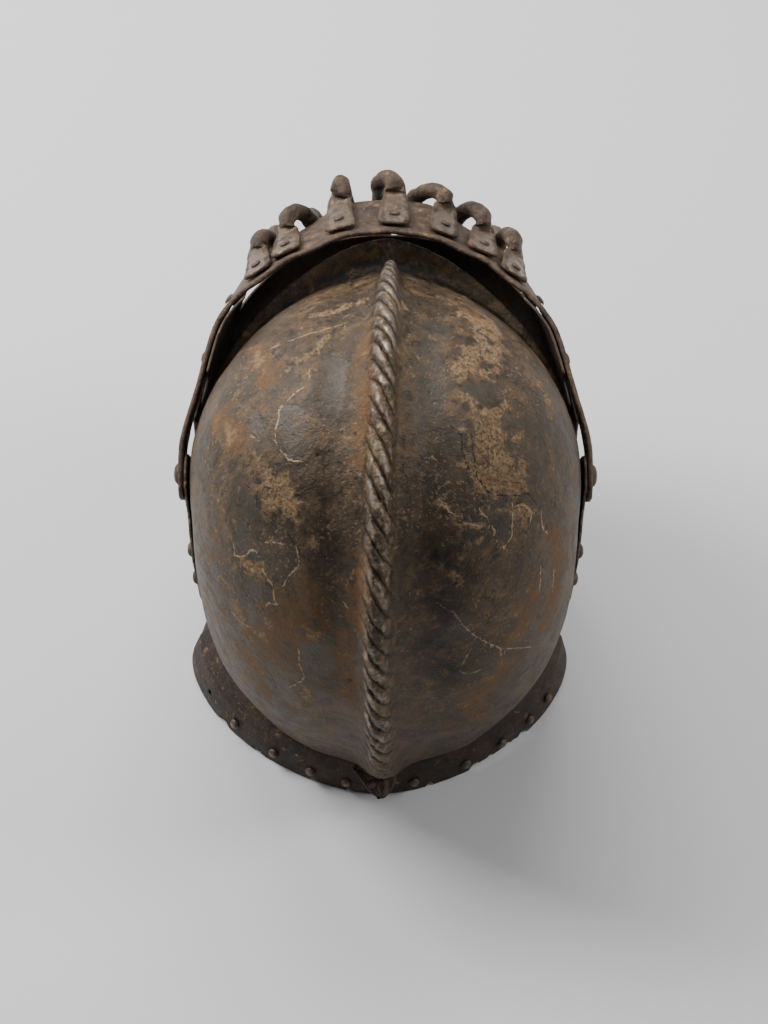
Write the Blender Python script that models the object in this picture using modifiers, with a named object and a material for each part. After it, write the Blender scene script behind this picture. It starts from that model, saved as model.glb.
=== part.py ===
"""Tournament helmet: a combed skull, a barred visor on two pivots, a bevor and a flared collar.

Metres, +Z up, the face toward -Y. The helmet stands upright on its collar, and the
origin is on the ground below the middle of the helmet. Most points are written from
the pivot point, the middle of the line that joins the two visor pivots, because the
skull, the visor and the bevor are all laid out round it.
"""

import math

import bmesh
import bpy
from mathutils import Matrix, Vector

# Bowl: overall sizes of the outer face
SKULL_WIDTH = 0.214
SKULL_LENGTH = 0.231
SKULL_HEIGHT = 0.250
SKULL_PLATE = 0.0022

# Comb that runs over the bowl, with a soft keel under it and a flute on each side
COMB_WIDTH = 0.014
COMB_HEIGHT = 0.009
COMB_BOW = 0.0042
KEEL_HEIGHT = 0.0020
FLUTE_DEPTH = 0.0016

# Place of the pivots, and the bevor that lies round the bowl's sides
PIVOT_HEIGHT = 0.175
PIVOT_Y = 0.0325
BEVOR_PLATE = 0.0018
BEVOR_STANDOFF = 0.0012
BEVOR_LAP = 0.014
BEVOR_REACH = 0.180
BEVOR_NECK_REACH = 0.118
BEVOR_DROP = 0.033
EAR_HEIGHT = 0.0145
EAR_SPREAD = 0.016
GUARD_ARCH = 2.3
LAP_DRAFT = 0.008

# Visor: brow band with its arms, cheeks, lower strap and bars
BAND_PLATE = 0.0028
BAND_RUN = 0.1345
BAND_DEPTH = 0.050
ARM_WIDTH = 0.029
ARM_SLOPE_DEG = 28.0
ARM_TILT_DEG = 62.0
STRAP_PLATE = 0.0018
STRAP_DEPTH = 0.036
STRAP_DROP = 0.027
STRAP_END = 0.84
CHEEK_PLATE = 0.0016
BAR_DIAMETER = 0.0095
BAR_BULGE = 0.007
BAR_CREST = 0.0075
PADDLE_WIDTH = 0.0150
PADDLE_PLATE = 0.0034

# Collar
COLLAR_PLATE = 0.0018
COLLAR_WIDTH = 0.227
COLLAR_BACK_REACH = 0.092
COLLAR_FRONT_REACH = 0.116
COLLAR_BACKSET = 0.012
COLLAR_SHIFT = 0.0035
COLLAR_TUCK = 0.008
COLLAR_LAP_DEG = 30.0
RIM_ARCH = 1.70
COLLAR_PINCH = 0.006
NOTCH_WIDTH = 0.003
NOTCH_DEPTH = 0.004

# Tail where the comb ends
TAIL_LENGTH = 0.019
TAIL_WIDTH = 0.028
TAIL_SHIFT = 0.003
TAIL_PLATE = 0.003
TAIL_DROOP_DEG = 22.0

# Fits
GAP = 0.0003
SEAT_CLEARANCE = 0.0005
CHEEK_CLEARANCE = 0.0008
NECK_CLEARANCE = 0.0013
LAP_CLEARANCE = 0.0004
HOLE_CLEARANCE = 0.0003
STRAP_CLEARANCE = 0.0006
TAIL_OF_RIVET = 0.0010

# Step over which a surface's normal is taken
NORMAL_STEP = 0.004

HALF_WIDTH = SKULL_WIDTH / 2
PIVOT = Vector((0.0, PIVOT_Y, PIVOT_HEIGHT))
CHEEK_FOOT = (BEVOR_DROP - 2 * SEAT_CLEARANCE - STRAP_DROP) / (STRAP_DEPTH / 2)
ARM_OUTER = HALF_WIDTH + BEVOR_STANDOFF + BEVOR_PLATE + GAP + BAND_PLATE
COLLAR_LAP = COLLAR_LAP_DEG / 90.0

# Sections of the bowl from the brow edge over the crown to the nape. Each is a rounded
# arch from its crest, on the middle line, to its widest point. Lengths are shares: y of
# SKULL_LENGTH and z of SKULL_HEIGHT, both from the pivot point, and x of HALF_WIDTH.
# The last three columns are the arch's exponent, how far down the side edge it ends, and
# how much of the comb's height stands there.
SKULL_SECTIONS = (
    # crest_y, crest_z, wide_x, wide_y, wide_z, arch, edge, comb
    (-0.489, 0.248, 0.981, -0.069, -0.008, 1.74, 0.00, 0.05),
    (-0.437, 0.220, 0.986, -0.035, -0.004, 1.80, 0.015, 0.25),
    (-0.359, 0.272, 0.991, -0.017, 0.000, 1.90, 0.03, 0.90),
    (-0.203, 0.364, 1.000, -0.004, 0.000, 2.00, 0.045, 1.00),
    (0.000, 0.412, 1.000, 0.009, 0.000, 2.05, 0.06, 1.00),
    (0.186, 0.380, 1.000, 0.026, -0.008, 2.10, 0.08, 1.00),
    (0.346, 0.276, 1.000, 0.039, -0.032, 2.10, 0.11, 1.00),
    (0.459, 0.108, 0.997, 0.052, -0.080, 2.10, 0.15, 1.00),
    (0.506, -0.064, 1.000, 0.052, -0.144, 2.10, 0.25, 1.00),
    (0.511, -0.256, 1.000, 0.043, -0.264, 2.10, 0.47, 1.00),
    (0.485, -0.424, 0.982, 0.026, -0.412, 2.05, 0.77, 1.00),
    (0.433, -0.588, 0.908, 0.009, -0.528, 2.00, 1.00, 0.80),
)
BROW_CORNER = (-0.078, -0.040)
NECK_CORNER = (-0.035, -0.524)
ROW_STEPS = 2
COMB_COLUMNS = (0.0, 0.2, 0.38, 0.58, 0.95, 1.5, 2.3)
WIDE_COLUMNS = 6

# Half of the visor band from its middle to the pivot. x is a share of ARM_OUTER, and run
# of BAND_RUN, from the pivot forward. Broad says how far the width has grown from
# ARM_WIDTH to BAND_DEPTH. The tilt is how far the plate leans down toward the front, and
# the flare, a share of BAND_DEPTH, is how far its front edge stands out sideways. The skew,
# a share of ARM_OUTER, moves both sides toward the wearer's left, as the real visor is bent.
BAND_STATIONS = (
    # x, run, broad, tilt_deg, flare, skew
    (0.000, 1.000, 1.00, 28.0, 0.00, 0.000),
    (0.215, 0.977, 1.00, 28.0, 0.01, 0.000),
    (0.385, 0.914, 1.00, 33.0, 0.02, 0.000),
    (0.490, 0.876, 0.92, 34.0, 0.02, 0.002),
    (0.605, 0.800, 0.80, 33.0, 0.03, 0.007),
    (0.705, 0.740, 0.65, 42.0, 0.03, 0.009),
    (0.785, 0.667, 0.48, 50.0, 0.03, 0.008),
    (0.838, 0.590, 0.35, 57.0, 0.03, 0.005),
    (0.881, 0.476, 0.20, ARM_TILT_DEG, 0.04, 0.002),
    (0.919, 0.352, 0.10, ARM_TILT_DEG, 0.05, 0.000),
    (0.953, 0.257, 0.04, ARM_TILT_DEG, 0.04, 0.000),
    (0.980, 0.181, 0.00, ARM_TILT_DEG, 0.02, 0.000),
    (0.997, 0.105, 0.00, ARM_TILT_DEG, 0.01, 0.000),
    (1.000, 0.038, 0.00, ARM_TILT_DEG, 0.00, 0.000),
    (1.000, 0.000, 0.00, ARM_TILT_DEG, 0.00, 0.000),
)
ARM_END_ANGLES = (30.0, 55.0, 75.0)

# Stations of the band between which a cheek plate lies
CHEEK_STATIONS = (5.0, 5.5, 6.0, 6.5, 7.0, 7.5, 8.0, 8.5)
CHEEK_RIVET_STATIONS = (5.6, 7.9)

# Bars from the wearer's left to right: where each sits on the band, where its arch comes
# down and where it sits on the strap, all shares of HALF_WIDTH, and how high it arches.
BARS = (
    # band_x, arch_x, strap_x, crest
    (0.658, 0.580, 0.490, 1.05),
    (0.514, 0.389, 0.345, 1.50),
    (0.239, 0.224, 0.190, 1.30),
    (-0.039, 0.049, 0.035, 1.25),
    (-0.293, -0.141, -0.120, 1.20),
    (-0.495, -0.350, -0.290, 1.60),
    (-0.652, -0.570, -0.475, 1.45),
)

# Places along a bar's route where its section is laid, close together over the arch
BAR_SAMPLES = (0.0, 1.0, 2.0, 3.0, 3.5, 4.0, 4.5, 5.0, 5.5, 6.0, 7.0, 8.0, 9.0, 10.0, 11.0, 12.0)

# Flare of the collar at shares of its height, from the ground up
FLARE_PROFILE = ((0.00, 1.00), (0.08, 1.00), (0.30, 0.93), (0.58, 0.76), (0.82, 0.42), (1.00, 0.00))

# Rivets that hold the bevor: shares down from its upper edge, and share round it
BEVOR_RIVET_HEIGHTS = (0.53, 0.72)
BEVOR_RIVET_AROUND = 0.985

# Rivets round the rear collar plate, in right angles from its middle. One is lost, and
# its empty hole is left near the wearer's left end.
COLLAR_RIVETS = (0.58, 0.41, 0.27, 0.14, -0.147, -0.337, -0.478, -0.61, -0.72)
COLLAR_EMPTY_HOLE = 0.74
COLLAR_RIVET_HEIGHT = 0.32

# Outline of the tail, lengthways a share of TAIL_LENGTH and sideways of TAIL_WIDTH
TAIL_OUTLINE = ((0.00, -0.40), (0.00, 0.44), (0.10, 0.56), (0.28, 0.44), (0.62, 0.30), (0.97, 0.10),
                (1.00, -0.06), (0.84, -0.26), (0.45, -0.38))

# Rivets: diameter and height of the head, diameter of the shank, and steps round it
RIVETS = {
    "pivot": (0.0130, 0.0030, 0.0060, 10),
    "bevor": (0.0090, 0.0026, 0.0044, 8),
    "cheek": (0.0070, 0.0016, 0.0036, 6),
    "bar": (0.0066, 0.0010, 0.0036, 6),
    "collar": (0.0066, 0.0024, 0.0034, 8),
    "tail": (0.0056, 0.0012, 0.0026, 6),
}

IRON = {
    "skull": ((0.115, 0.085, 0.060), 0.45, 0.75),
    "visor": ((0.125, 0.090, 0.068), 0.60, 0.65),
    "collar": ((0.085, 0.060, 0.045), 0.55, 0.70),
    "rivet": ((0.160, 0.130, 0.100), 0.50, 0.75),
}


def clear_scene():
    """Removes whatever the scene holds."""
    for item in list(bpy.context.scene.objects):
        bpy.data.objects.remove(item, do_unlink=True)


def new_collection(name):
    """Returns a new collection linked to the scene."""
    collection = bpy.data.collections.new(name)
    bpy.context.scene.collection.children.link(collection)
    return collection


def iron(name):
    """Returns the named patinated iron as a Principled material."""
    material = bpy.data.materials.get(name) or bpy.data.materials.new(name)
    material.use_nodes = True
    colour, roughness, metallic = IRON[name]
    shader = material.node_tree.nodes["Principled BSDF"]
    shader.inputs["Base Color"].default_value = (*colour, 1.0)
    shader.inputs["Roughness"].default_value = roughness
    shader.inputs["Metallic"].default_value = metallic
    return material


def add_mesh(name, points, faces, collection, finish=None):
    """Makes a mesh object from points and faces."""
    mesh = bpy.data.meshes.new(name)
    mesh.from_pydata([tuple(point) for point in points], [], faces)
    mesh.update()
    piece = bpy.data.objects.new(name, mesh)
    collection.objects.link(piece)
    if finish:
        mesh.materials.append(iron(finish))
        mesh.shade_smooth()
        mesh.set_sharp_from_angle(angle=math.radians(40.0))
    return piece


def lerp(low, high, share):
    """Returns the value that lies at a share between two values."""
    return low + (high - low) * share


def smooth_row(table, position):
    """Reads a table of rows at a fractional row, along a smooth curve through the rows."""
    last = len(table) - 1
    index = min(int(position), last - 1)
    share = position - index
    before, start, end, after = (table[max(index - 1, 0)], table[index],
                                 table[index + 1], table[min(index + 2, last)])
    row = []
    for one, two, three, four in zip(before, start, end, after):
        leaving = (three - one) / 2
        arriving = (four - two) / 2
        rise = three - two
        row.append(two + share * (leaving + share * (3 * rise - 2 * leaving - arriving
                                                     + share * (leaving + arriving - 2 * rise))))
    return row


def share_at(profile, position):
    """Reads a two-column profile at a position, straight between its rows."""
    for (low, first), (high, second) in zip(profile, profile[1:]):
        if position <= high:
            return lerp(first, second, (position - low) / (high - low))
    return profile[-1][1]


def arch(angle, exponent):
    """Returns the side and crest shares of a rounded arch at an angle from its crest."""
    side = abs(math.sin(angle)) ** (2 / exponent)
    crest = abs(math.cos(angle)) ** (2 / exponent)
    return side, crest


def normal_of(surface, u, v, step=NORMAL_STEP / 2):
    """Returns the unit normal of a surface function at (u, v)."""
    along = surface(u + step, v) - surface(u - step, v)
    across = surface(u, v + step) - surface(u, v - step)
    return along.cross(across).normalized()


def outward(surface, u, v):
    """Returns a surface's normal turned away from the helmet's middle."""
    normal = normal_of(surface, u, v)
    away = surface(u, v) - Vector((0.0, PIVOT.y, surface(u, v).z))
    return normal if normal.dot(away) > 0 else -normal


def plate(name, surface, us, vs, thickness, collection, finish):
    """Makes a plate of even thickness below the outer face that a surface function gives."""
    points = [surface(u, v) for u in us for v in vs]
    width = len(vs)
    faces = []
    for row in range(len(us) - 1):
        for column in range(width - 1):
            corner = row * width + column
            faces.append((corner, corner + 1, corner + width + 1, corner + width))
    piece = add_mesh(name, points, faces, collection, finish)
    outside = sum(face.normal.dot(face.center - Vector((0.0, PIVOT.y, face.center.z))) * face.area
                  for face in piece.data.polygons)
    if outside < 0.0:
        piece.data.flip_normals()
    shell = piece.modifiers.new("Thickness", "SOLIDIFY")
    shell.thickness = thickness
    shell.offset = -1.0
    shell.use_even_offset = True
    return piece


def comb_relief(offset, share):
    """Returns how far the bowl's face rises near the middle line, at a sideways offset."""
    across = abs(offset)
    ridge = COMB_HEIGHT * math.exp(-(across / (COMB_WIDTH * 0.44)) ** 3)
    keel = KEEL_HEIGHT * math.exp(-(across / COMB_WIDTH) ** 2)
    flute = FLUTE_DEPTH * math.exp(-((across - 1.6 * COMB_WIDTH) / (0.8 * COMB_WIDTH)) ** 2)
    return share * (ridge + keel - flute)


def skull_point(row, column):
    """Returns a point of the bowl's outer face.

    The row runs from 0 at the brow edge to the last section at the nape. The column runs
    from -2 to 2: below 1 in size it is the share of the way from the crest to the widest
    point, and from 1 to 2 it is the lap that ends at the side edge.
    """
    section = smooth_row(SKULL_SECTIONS, row)
    crest_y, crest_z, wide_x, wide_y, wide_z, exponent, edge, comb = section
    side = math.copysign(1.0, column)
    reach = abs(column)
    side_share, crest_share = arch(min(reach, 1.0) * math.pi / 2, exponent)
    x = side * side_share * wide_x * HALF_WIDTH * (1.0 - LAP_DRAFT * max(reach - 1.0, 0.0))
    y = lerp(wide_y, crest_y, crest_share) * SKULL_LENGTH
    z = lerp(wide_z, crest_z, crest_share) * SKULL_HEIGHT
    if reach > 1.0:
        lap = reach - 1.0
        y = lerp(wide_y, lerp(BROW_CORNER[0], NECK_CORNER[0], edge), lap) * SKULL_LENGTH
        z = lerp(wide_z, lerp(BROW_CORNER[1], NECK_CORNER[1], edge), lap) * SKULL_HEIGHT
    tangent = crest_tangent(row)
    rise = comb_relief(x, comb)
    bow = COMB_BOW * comb * math.sin(1.35 * math.pi * (row / (len(SKULL_SECTIONS) - 1) - 0.32))
    bow *= math.exp(-(x / (2.5 * COMB_WIDTH)) ** 2)
    return PIVOT + Vector((x + bow, y - tangent.z * rise, z + tangent.y * rise))


def crest_tangent(row):
    """Returns the direction of the bowl's middle line, from the nape toward the brow."""
    step = 0.05
    last = len(SKULL_SECTIONS) - 1
    ahead = smooth_row(SKULL_SECTIONS, max(row - step, 0.0))
    behind = smooth_row(SKULL_SECTIONS, min(row + step, last))
    along = Vector((0.0, (behind[0] - ahead[0]) * SKULL_LENGTH, (behind[1] - ahead[1]) * SKULL_HEIGHT))
    return along.normalized()


def skull_columns():
    """Returns the columns of the bowl's grid, close together over the comb."""
    near = [share * COMB_WIDTH for share in COMB_COLUMNS]
    half = [2 / math.pi * math.asin(offset / HALF_WIDTH) for offset in near]
    half += [lerp(half[-1], 1.0, (step + 1) / WIDE_COLUMNS) for step in range(WIDE_COLUMNS)]
    half += [2.0]
    return [-column for column in reversed(half[1:])] + half


def build_skull(parts):
    """Makes the bowl with its comb and turned-up brow edge."""
    steps = (len(SKULL_SECTIONS) - 1) * ROW_STEPS
    rows = [step / ROW_STEPS for step in range(steps + 1)]
    return plate("skull", skull_point, rows, skull_columns(), SKULL_PLATE, parts, "skull")


def skull_side(height):
    """Returns the bowl's half width at a height from the pivot point."""
    sides = [(-row[4] * SKULL_HEIGHT, row[2] * HALF_WIDTH) for row in SKULL_SECTIONS[4:]]
    return share_at(sides, max(-height, sides[0][0]))


def bevor_top(y):
    """Returns the height of the bevor's upper edge at a distance y behind the pivots."""
    fall = BEVOR_DROP * (1.0 - math.exp(-(min(y, 0.0) / (1.4 * EAR_SPREAD)) ** 2))
    return EAR_HEIGHT * math.exp(-(y / EAR_SPREAD) ** 2) - fall


def guard_front(height):
    """Returns the y of the face guard's middle line at a height from the pivot point."""
    waist = NECK_CORNER[1] * SKULL_HEIGHT
    fall = min(max((height - waist) / (-BEVOR_DROP - waist), 0.0), 1.0)
    return -lerp(BEVOR_NECK_REACH, BEVOR_REACH, math.sin(fall * math.pi / 2))


def guard_point(around, height, outset):
    """Returns a point round the front of the helmet, at a distance out from the bevor's inner face."""
    side_share, front_share = arch(around * math.pi / 2, GUARD_ARCH)
    half = skull_side(height) + BEVOR_STANDOFF + outset
    y = lerp(BEVOR_LAP, guard_front(height) - outset, front_share)
    return PIVOT + Vector((math.copysign(side_share * half, around), y, height))


def bevor_point(height_share, around):
    """Returns a point of the bevor's outer face.

    Height share 0 is the upper edge and 1 the lower edge. Around runs from -1 at one rear
    edge over 0 at the front to 1 at the other.
    """
    front_share = arch(around * math.pi / 2, GUARD_ARCH)[1]
    top = bevor_top(lerp(BEVOR_LAP, -BEVOR_REACH, front_share))
    height = lerp(top, NECK_CORNER[1] * SKULL_HEIGHT, height_share)
    return guard_point(around, height, BEVOR_PLATE)


def build_bevor(parts):
    """Makes the chin plate, whose ears lie between the bowl and the visor's arms."""
    front = [0.8 * step / 8 for step in range(8)] + [0.8, 0.86, 0.905, 0.935, 0.96, 0.98, 1.0]
    around = [-share for share in reversed(front[1:])] + front
    heights = (0.0, 0.15, 0.35, 0.57, 0.79, 1.0)
    return plate("bevor", bevor_point, heights, around, BEVOR_PLATE, parts, "skull")


def band_point(station, across):
    """Returns a point of the visor band's outer face.

    The station runs from 0 at the band's middle to the last row at the pivot, and is
    negative on the other side. Across is -1 at the rear edge and 1 at the front edge.
    """
    side = math.copysign(1.0, station)
    x_share, run, broad, tilt, flare, skew = smooth_row(BAND_STATIONS, abs(station))
    slope = math.radians(ARM_SLOPE_DEG)
    end_tilt = math.radians(ARM_TILT_DEG)
    lean = math.radians(tilt)
    rear_y = ARM_WIDTH / 2 * math.cos(end_tilt) - run * BAND_RUN * math.cos(slope)
    rear_z = ARM_WIDTH / 2 * math.sin(end_tilt) + run * BAND_RUN * math.sin(slope)
    reach = lerp(ARM_WIDTH, BAND_DEPTH, broad) * (1 + across) / 2
    x = x_share * ARM_OUTER + flare * BAND_DEPTH * (1 + across) / 2
    return PIVOT + Vector((side * x + skew * ARM_OUTER, rear_y - reach * math.cos(lean),
                           rear_z - reach * math.sin(lean)))


def arm_end_point(side, angle, across):
    """Returns a point of an arm's round end, at an angle past the pivot."""
    half = ARM_WIDTH / 2
    slope = math.radians(ARM_SLOPE_DEG)
    tilt = math.radians(ARM_TILT_DEG)
    turn = math.radians(angle)
    along = Vector((0.0, math.cos(slope), -math.sin(slope))) * half * math.sin(turn)
    over = Vector((0.0, -math.cos(tilt), -math.sin(tilt))) * half * across * math.cos(turn)
    return PIVOT + Vector((side * ARM_OUTER, 0.0, 0.0)) + along + over


def build_band(parts):
    """Makes the brow band and its two arms as one plate."""
    last = len(BAND_STATIONS) - 1
    stations = [step / 2 for step in range(-2 * last, 2 * last + 1)]
    across = (-1.0, 0.0, 1.0)
    rows = [[band_point(station, share) for share in across] for station in stations]
    left = [[arm_end_point(-1.0, angle, share) for share in across] for angle in reversed(ARM_END_ANGLES)]
    right = [[arm_end_point(1.0, angle, share) for share in across] for angle in ARM_END_ANGLES]
    rows = left + rows + right
    return plate("visor_band", lambda u, v: rows[u][v], range(len(rows)), range(len(across)),
                 BAND_PLATE, parts, "visor")


def strap_point(around, across):
    """Returns a point of the lower strap's outer face, from -1 at its upper to 1 at its lower edge."""
    height = -STRAP_DROP - across * STRAP_DEPTH / 2
    return guard_point(around, height, BEVOR_PLATE + STRAP_CLEARANCE + STRAP_PLATE)


def build_strap(parts):
    """Makes the lower strap of the face guard, outside the bevor's upper edge."""
    half_steps = 11
    around = [STRAP_END * step / half_steps for step in range(-half_steps, half_steps + 1)]
    return plate("visor_lower_strap", lambda u, v: strap_point(v, u), (-1.0, -0.35, 0.3, 1.0), around,
                 STRAP_PLATE, parts, "visor")


def solve(function, target, low, high):
    """Returns where a rising function reaches the target, between two bounds."""
    for _ in range(30):
        middle = (low + high) / 2
        if function(middle) < target:
            low = middle
        else:
            high = middle
    return (low + high) / 2


def station_at(x_share):
    """Returns the band station whose middle line lies at a share of HALF_WIDTH."""
    side = math.copysign(1.0, x_share)
    return side * solve(lambda at: side * band_point(side * at, 0.0).x, abs(x_share) * HALF_WIDTH, 0.0, 7.0)


def strap_at(x_share):
    """Returns where the strap lies at a share of HALF_WIDTH from the middle."""
    around = solve(lambda at: strap_point(at, 0.0).x, abs(x_share) * HALF_WIDTH, 0.0, STRAP_END)
    return math.copysign(around, x_share)


def strap_under(station):
    """Returns where the strap lies below the band's front edge at a station."""
    y = band_point(station, 1.0).y
    return math.copysign(solve(lambda at: strap_point(at, 0.0).y, y, 0.0, STRAP_END), station)


def cheek_point(side, station, level):
    """Returns a point of a cheek plate's outer face.

    Levels 0 to 1 lie behind the band, from its rear edge to its front edge, and levels 2
    to 3 behind the strap, from its upper edge to just above the bevor.
    """
    station = side * station
    if level < 2:
        across = lerp(-1.0, 0.95, level)
        seat = BAND_PLATE + CHEEK_CLEARANCE
        return band_point(station, across) - outward(band_point, station, across) * seat
    around = strap_under(station)
    across = lerp(-0.95, CHEEK_FOOT, level - 2)
    seat = STRAP_PLATE + CHEEK_CLEARANCE
    return strap_point(around, across) - outward(strap_point, around, across) * seat


def build_cheek(name, side, parts):
    """Makes one cheek plate, lapped behind the arm and behind the strap's end."""
    levels = (0, 1, 2, 3)
    return plate(name, lambda u, v: cheek_point(side, u, v), CHEEK_STATIONS, levels, CHEEK_PLATE,
                 parts, "visor")


def bar_ends(band_x, strap_x):
    """Returns a bar's seats on the band and on the strap, each from rear or top to front or foot.

    A seat is a row of points of the bar's middle line with the normal of what lies below.
    """
    lift = PADDLE_PLATE / 2 + SEAT_CLEARANCE
    station = station_at(band_x)
    around = strap_at(strap_x)
    seats = []
    for surface, place, stops in ((band_point, station, (-0.80, -0.05, 0.80)),
                                  (strap_point, around, (-0.90, -0.05, 0.85))):
        seat = []
        for across in stops:
            normal = outward(surface, place, across)
            seat.append((surface(place, across) + normal * lift, normal))
        seats.append(seat)
    return seats


def bar_route(band_x, arch_x, strap_x, crest):
    """Returns the middle line of a bar, with its width, thickness and facing at each point."""
    seat, footing = bar_ends(band_x, strap_x)
    rear, front = seat[0][0], seat[-1][0]
    upper = seat[1][1]
    top, lower = footing[0]
    forward = (front - rear).normalized()
    lean = Vector(((arch_x - band_x) * HALF_WIDTH, 0.0, 0.0))
    down = Vector((0.0, 0.0, -1.0))
    rise = Vector((0.0, upper.y, upper.z)).normalized() * BAR_CREST * crest
    rod = BAR_DIAMETER
    crest_point = front + forward * 0.9 * rod + rise + lean * 0.35
    over = front + forward * 2.1 * rod + rise * 0.35 + lean + down * 0.3 * rod
    neck = top + lower * 0.45 * rod - down * 1.1 * rod
    middle = (over + neck) / 2 + lower * BAR_BULGE
    knots = [
        (rear, PADDLE_WIDTH, PADDLE_PLATE, seat[0][1]),
        (seat[1][0], PADDLE_WIDTH * 0.96, PADDLE_PLATE, upper),
        (front + upper * 0.25 * PADDLE_PLATE, PADDLE_WIDTH * 0.80, PADDLE_PLATE * 1.2, seat[-1][1]),
        (front + forward * 0.45 * rod + rise * 0.72, rod * 1.1, rod * 0.9, upper),
        (crest_point, rod, rod, upper),
        (crest_point.lerp(over, 0.55) + rise * 0.14, rod, rod, upper.lerp(lower, 0.3)),
        (over, rod, rod, upper.lerp(lower, 0.6)),
        (middle, rod, rod, lower),
        (neck, rod, rod * 0.9, lower),
        (top + lower * 0.1 * PADDLE_PLATE - down * 0.2 * rod, PADDLE_WIDTH * 0.8, PADDLE_PLATE, lower),
    ]
    knots += [(point, PADDLE_WIDTH * 0.9, PADDLE_PLATE, normal) for point, normal in footing]
    return [(*point, width, thick, *facing) for point, width, thick, facing in knots]


def build_bar(name, route, parts):
    """Lofts one bar through its route: round rod between two flattened ends."""
    sides = 8
    samples = [smooth_row(route, place) for place in BAR_SAMPLES]
    count = len(samples) - 1
    centres = [Vector(sample[:3]) for sample in samples]
    points = []
    for index, sample in enumerate(samples):
        along = (centres[min(index + 1, count)] - centres[max(index - 1, 0)]).normalized()
        facing = Vector(sample[5:])
        thick = (facing - along * facing.dot(along)).normalized()
        wide = thick.cross(along)
        for side in range(sides):
            turn = 2 * math.pi * (side + 0.5) / sides
            corner = 0.5 / math.cos(math.pi / sides)
            points.append(centres[index] + wide * math.cos(turn) * sample[3] * corner
                          + thick * math.sin(turn) * sample[4] * corner)
    faces = [tuple(range(sides))[::-1]]
    for ring in range(count):
        for side in range(sides):
            start = ring * sides + side
            turned = ring * sides + (side + 1) % sides
            faces.append((start, turned, turned + sides, start + sides))
    faces.append(tuple(count * sides + side for side in range(sides)))
    return add_mesh(name, points, faces, parts, "visor")


def collar_point(around, height_share):
    """Returns a point of the collar's outer face.

    Around is in right angles from the middle of the back, so it is 1 at a side and 2 at
    the front. The height share runs from 0 on the ground to 1 at the neck edge of the
    plate above, and on to 2 where the plate is tucked up inside it.
    """
    angle = around * math.pi / 2
    neck = SKULL_SECTIONS[-1]
    flare = share_at(FLARE_PROFILE, min(height_share, 1.0))
    side_share, end_share = arch(angle, lerp(2.0, RIM_ARCH, flare))
    tuck = SKULL_PLATE + FLUTE_DEPTH + NECK_CLEARANCE
    neck_side = neck[2] * HALF_WIDTH - tuck
    neck_y = neck[3] * SKULL_LENGTH
    high = PIVOT_HEIGHT + neck[4] * SKULL_HEIGHT
    if math.cos(angle) >= 0.0:
        facing = 1.0
        pinch = 0.0
        neck_end = (neck[0] - neck[3]) * SKULL_LENGTH - tuck
        rim_end = COLLAR_BACK_REACH
        edge = lerp(high, PIVOT_HEIGHT + neck[1] * SKULL_HEIGHT, end_share ** 1.5)
    else:
        facing = -1.0
        neck_end = BEVOR_NECK_REACH + neck_y - BEVOR_PLATE - GAP
        rim_end = COLLAR_FRONT_REACH
        edge = high
        pinch = COLLAR_PINCH * min(2.0 * (abs(around) - 1.0), 1.0) * flare
    x = lerp(neck_side, COLLAR_WIDTH / 2, flare) - pinch
    y = lerp(neck_end, rim_end, flare)
    centre = lerp(neck_y, COLLAR_BACKSET, flare)
    z = edge * min(height_share, 1.0) + COLLAR_TUCK * max(height_share - 1.0, 0.0)
    return Vector((math.copysign(x * side_share, math.sin(angle)) + COLLAR_SHIFT * flare,
                   PIVOT.y + centre + facing * y * end_share, z))


def collar_inner_point(around, height_share):
    """Returns the point of the front plate's outer face that lies inside the rear plate's."""
    inset = COLLAR_PLATE + LAP_CLEARANCE
    below = outward(collar_point, around, height_share - NORMAL_STEP)
    above = outward(collar_point, around, height_share + NORMAL_STEP)
    bisector = (below + above).normalized()
    return collar_point(around, height_share) - bisector * inset / bisector.dot(above)


def collar_heights():
    """Returns the height shares of a collar plate's rows."""
    return [row[0] for row in FLARE_PROFILE] + [2.0]


def build_collar_rear(parts):
    """Makes the flared plate behind the neck."""
    half_steps = 10
    around = [step / half_steps for step in range(-half_steps, half_steps + 1)]
    return plate("collar_rear", lambda u, v: collar_point(v, u), collar_heights(), around,
                 COLLAR_PLATE, parts, "collar")


def build_collar_front(parts):
    """Makes the flared plate before the neck, whose ends lie inside the rear plate."""
    half_steps = 12
    steps = [(1.0 + COLLAR_LAP) * step / half_steps for step in range(-half_steps, half_steps + 1)]
    around = [math.copysign(2.0 - abs(step), step) if step else 2.0 for step in steps]
    return plate("collar_front", lambda u, v: collar_inner_point(v, u), collar_heights(), around,
                 COLLAR_PLATE, parts, "collar")


def build_tail(parts):
    """Makes the small tail plate under the comb's end, and returns its top face's place."""
    last = len(SKULL_SECTIONS) - 1
    nape = skull_point(last, 0.0)
    droop = math.radians(TAIL_DROOP_DEG)
    along = Vector((0.0, math.cos(droop), -math.sin(droop)))
    up = Vector((0.0, math.sin(droop), math.cos(droop)))
    base = nape + Vector((TAIL_SHIFT, 0.0, 0.0)) - along * 0.45 * TAIL_LENGTH - up * (TAIL_PLATE + 3 * GAP)
    points = []
    for lift in (0.0, TAIL_PLATE):
        points += [base + along * length * TAIL_LENGTH + Vector((side * TAIL_WIDTH, 0.0, 0.0)) + up * lift
                   for length, side in TAIL_OUTLINE]
    count = len(TAIL_OUTLINE)
    faces = [tuple(range(count)), tuple(range(2 * count - 1, count - 1, -1))]
    for corner in range(count):
        turned = (corner + 1) % count
        faces.append((corner, corner + count, turned + count, turned))
    add_mesh("comb_tail", points, faces, parts, "skull")
    return base + up * TAIL_PLATE, along, up


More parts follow.
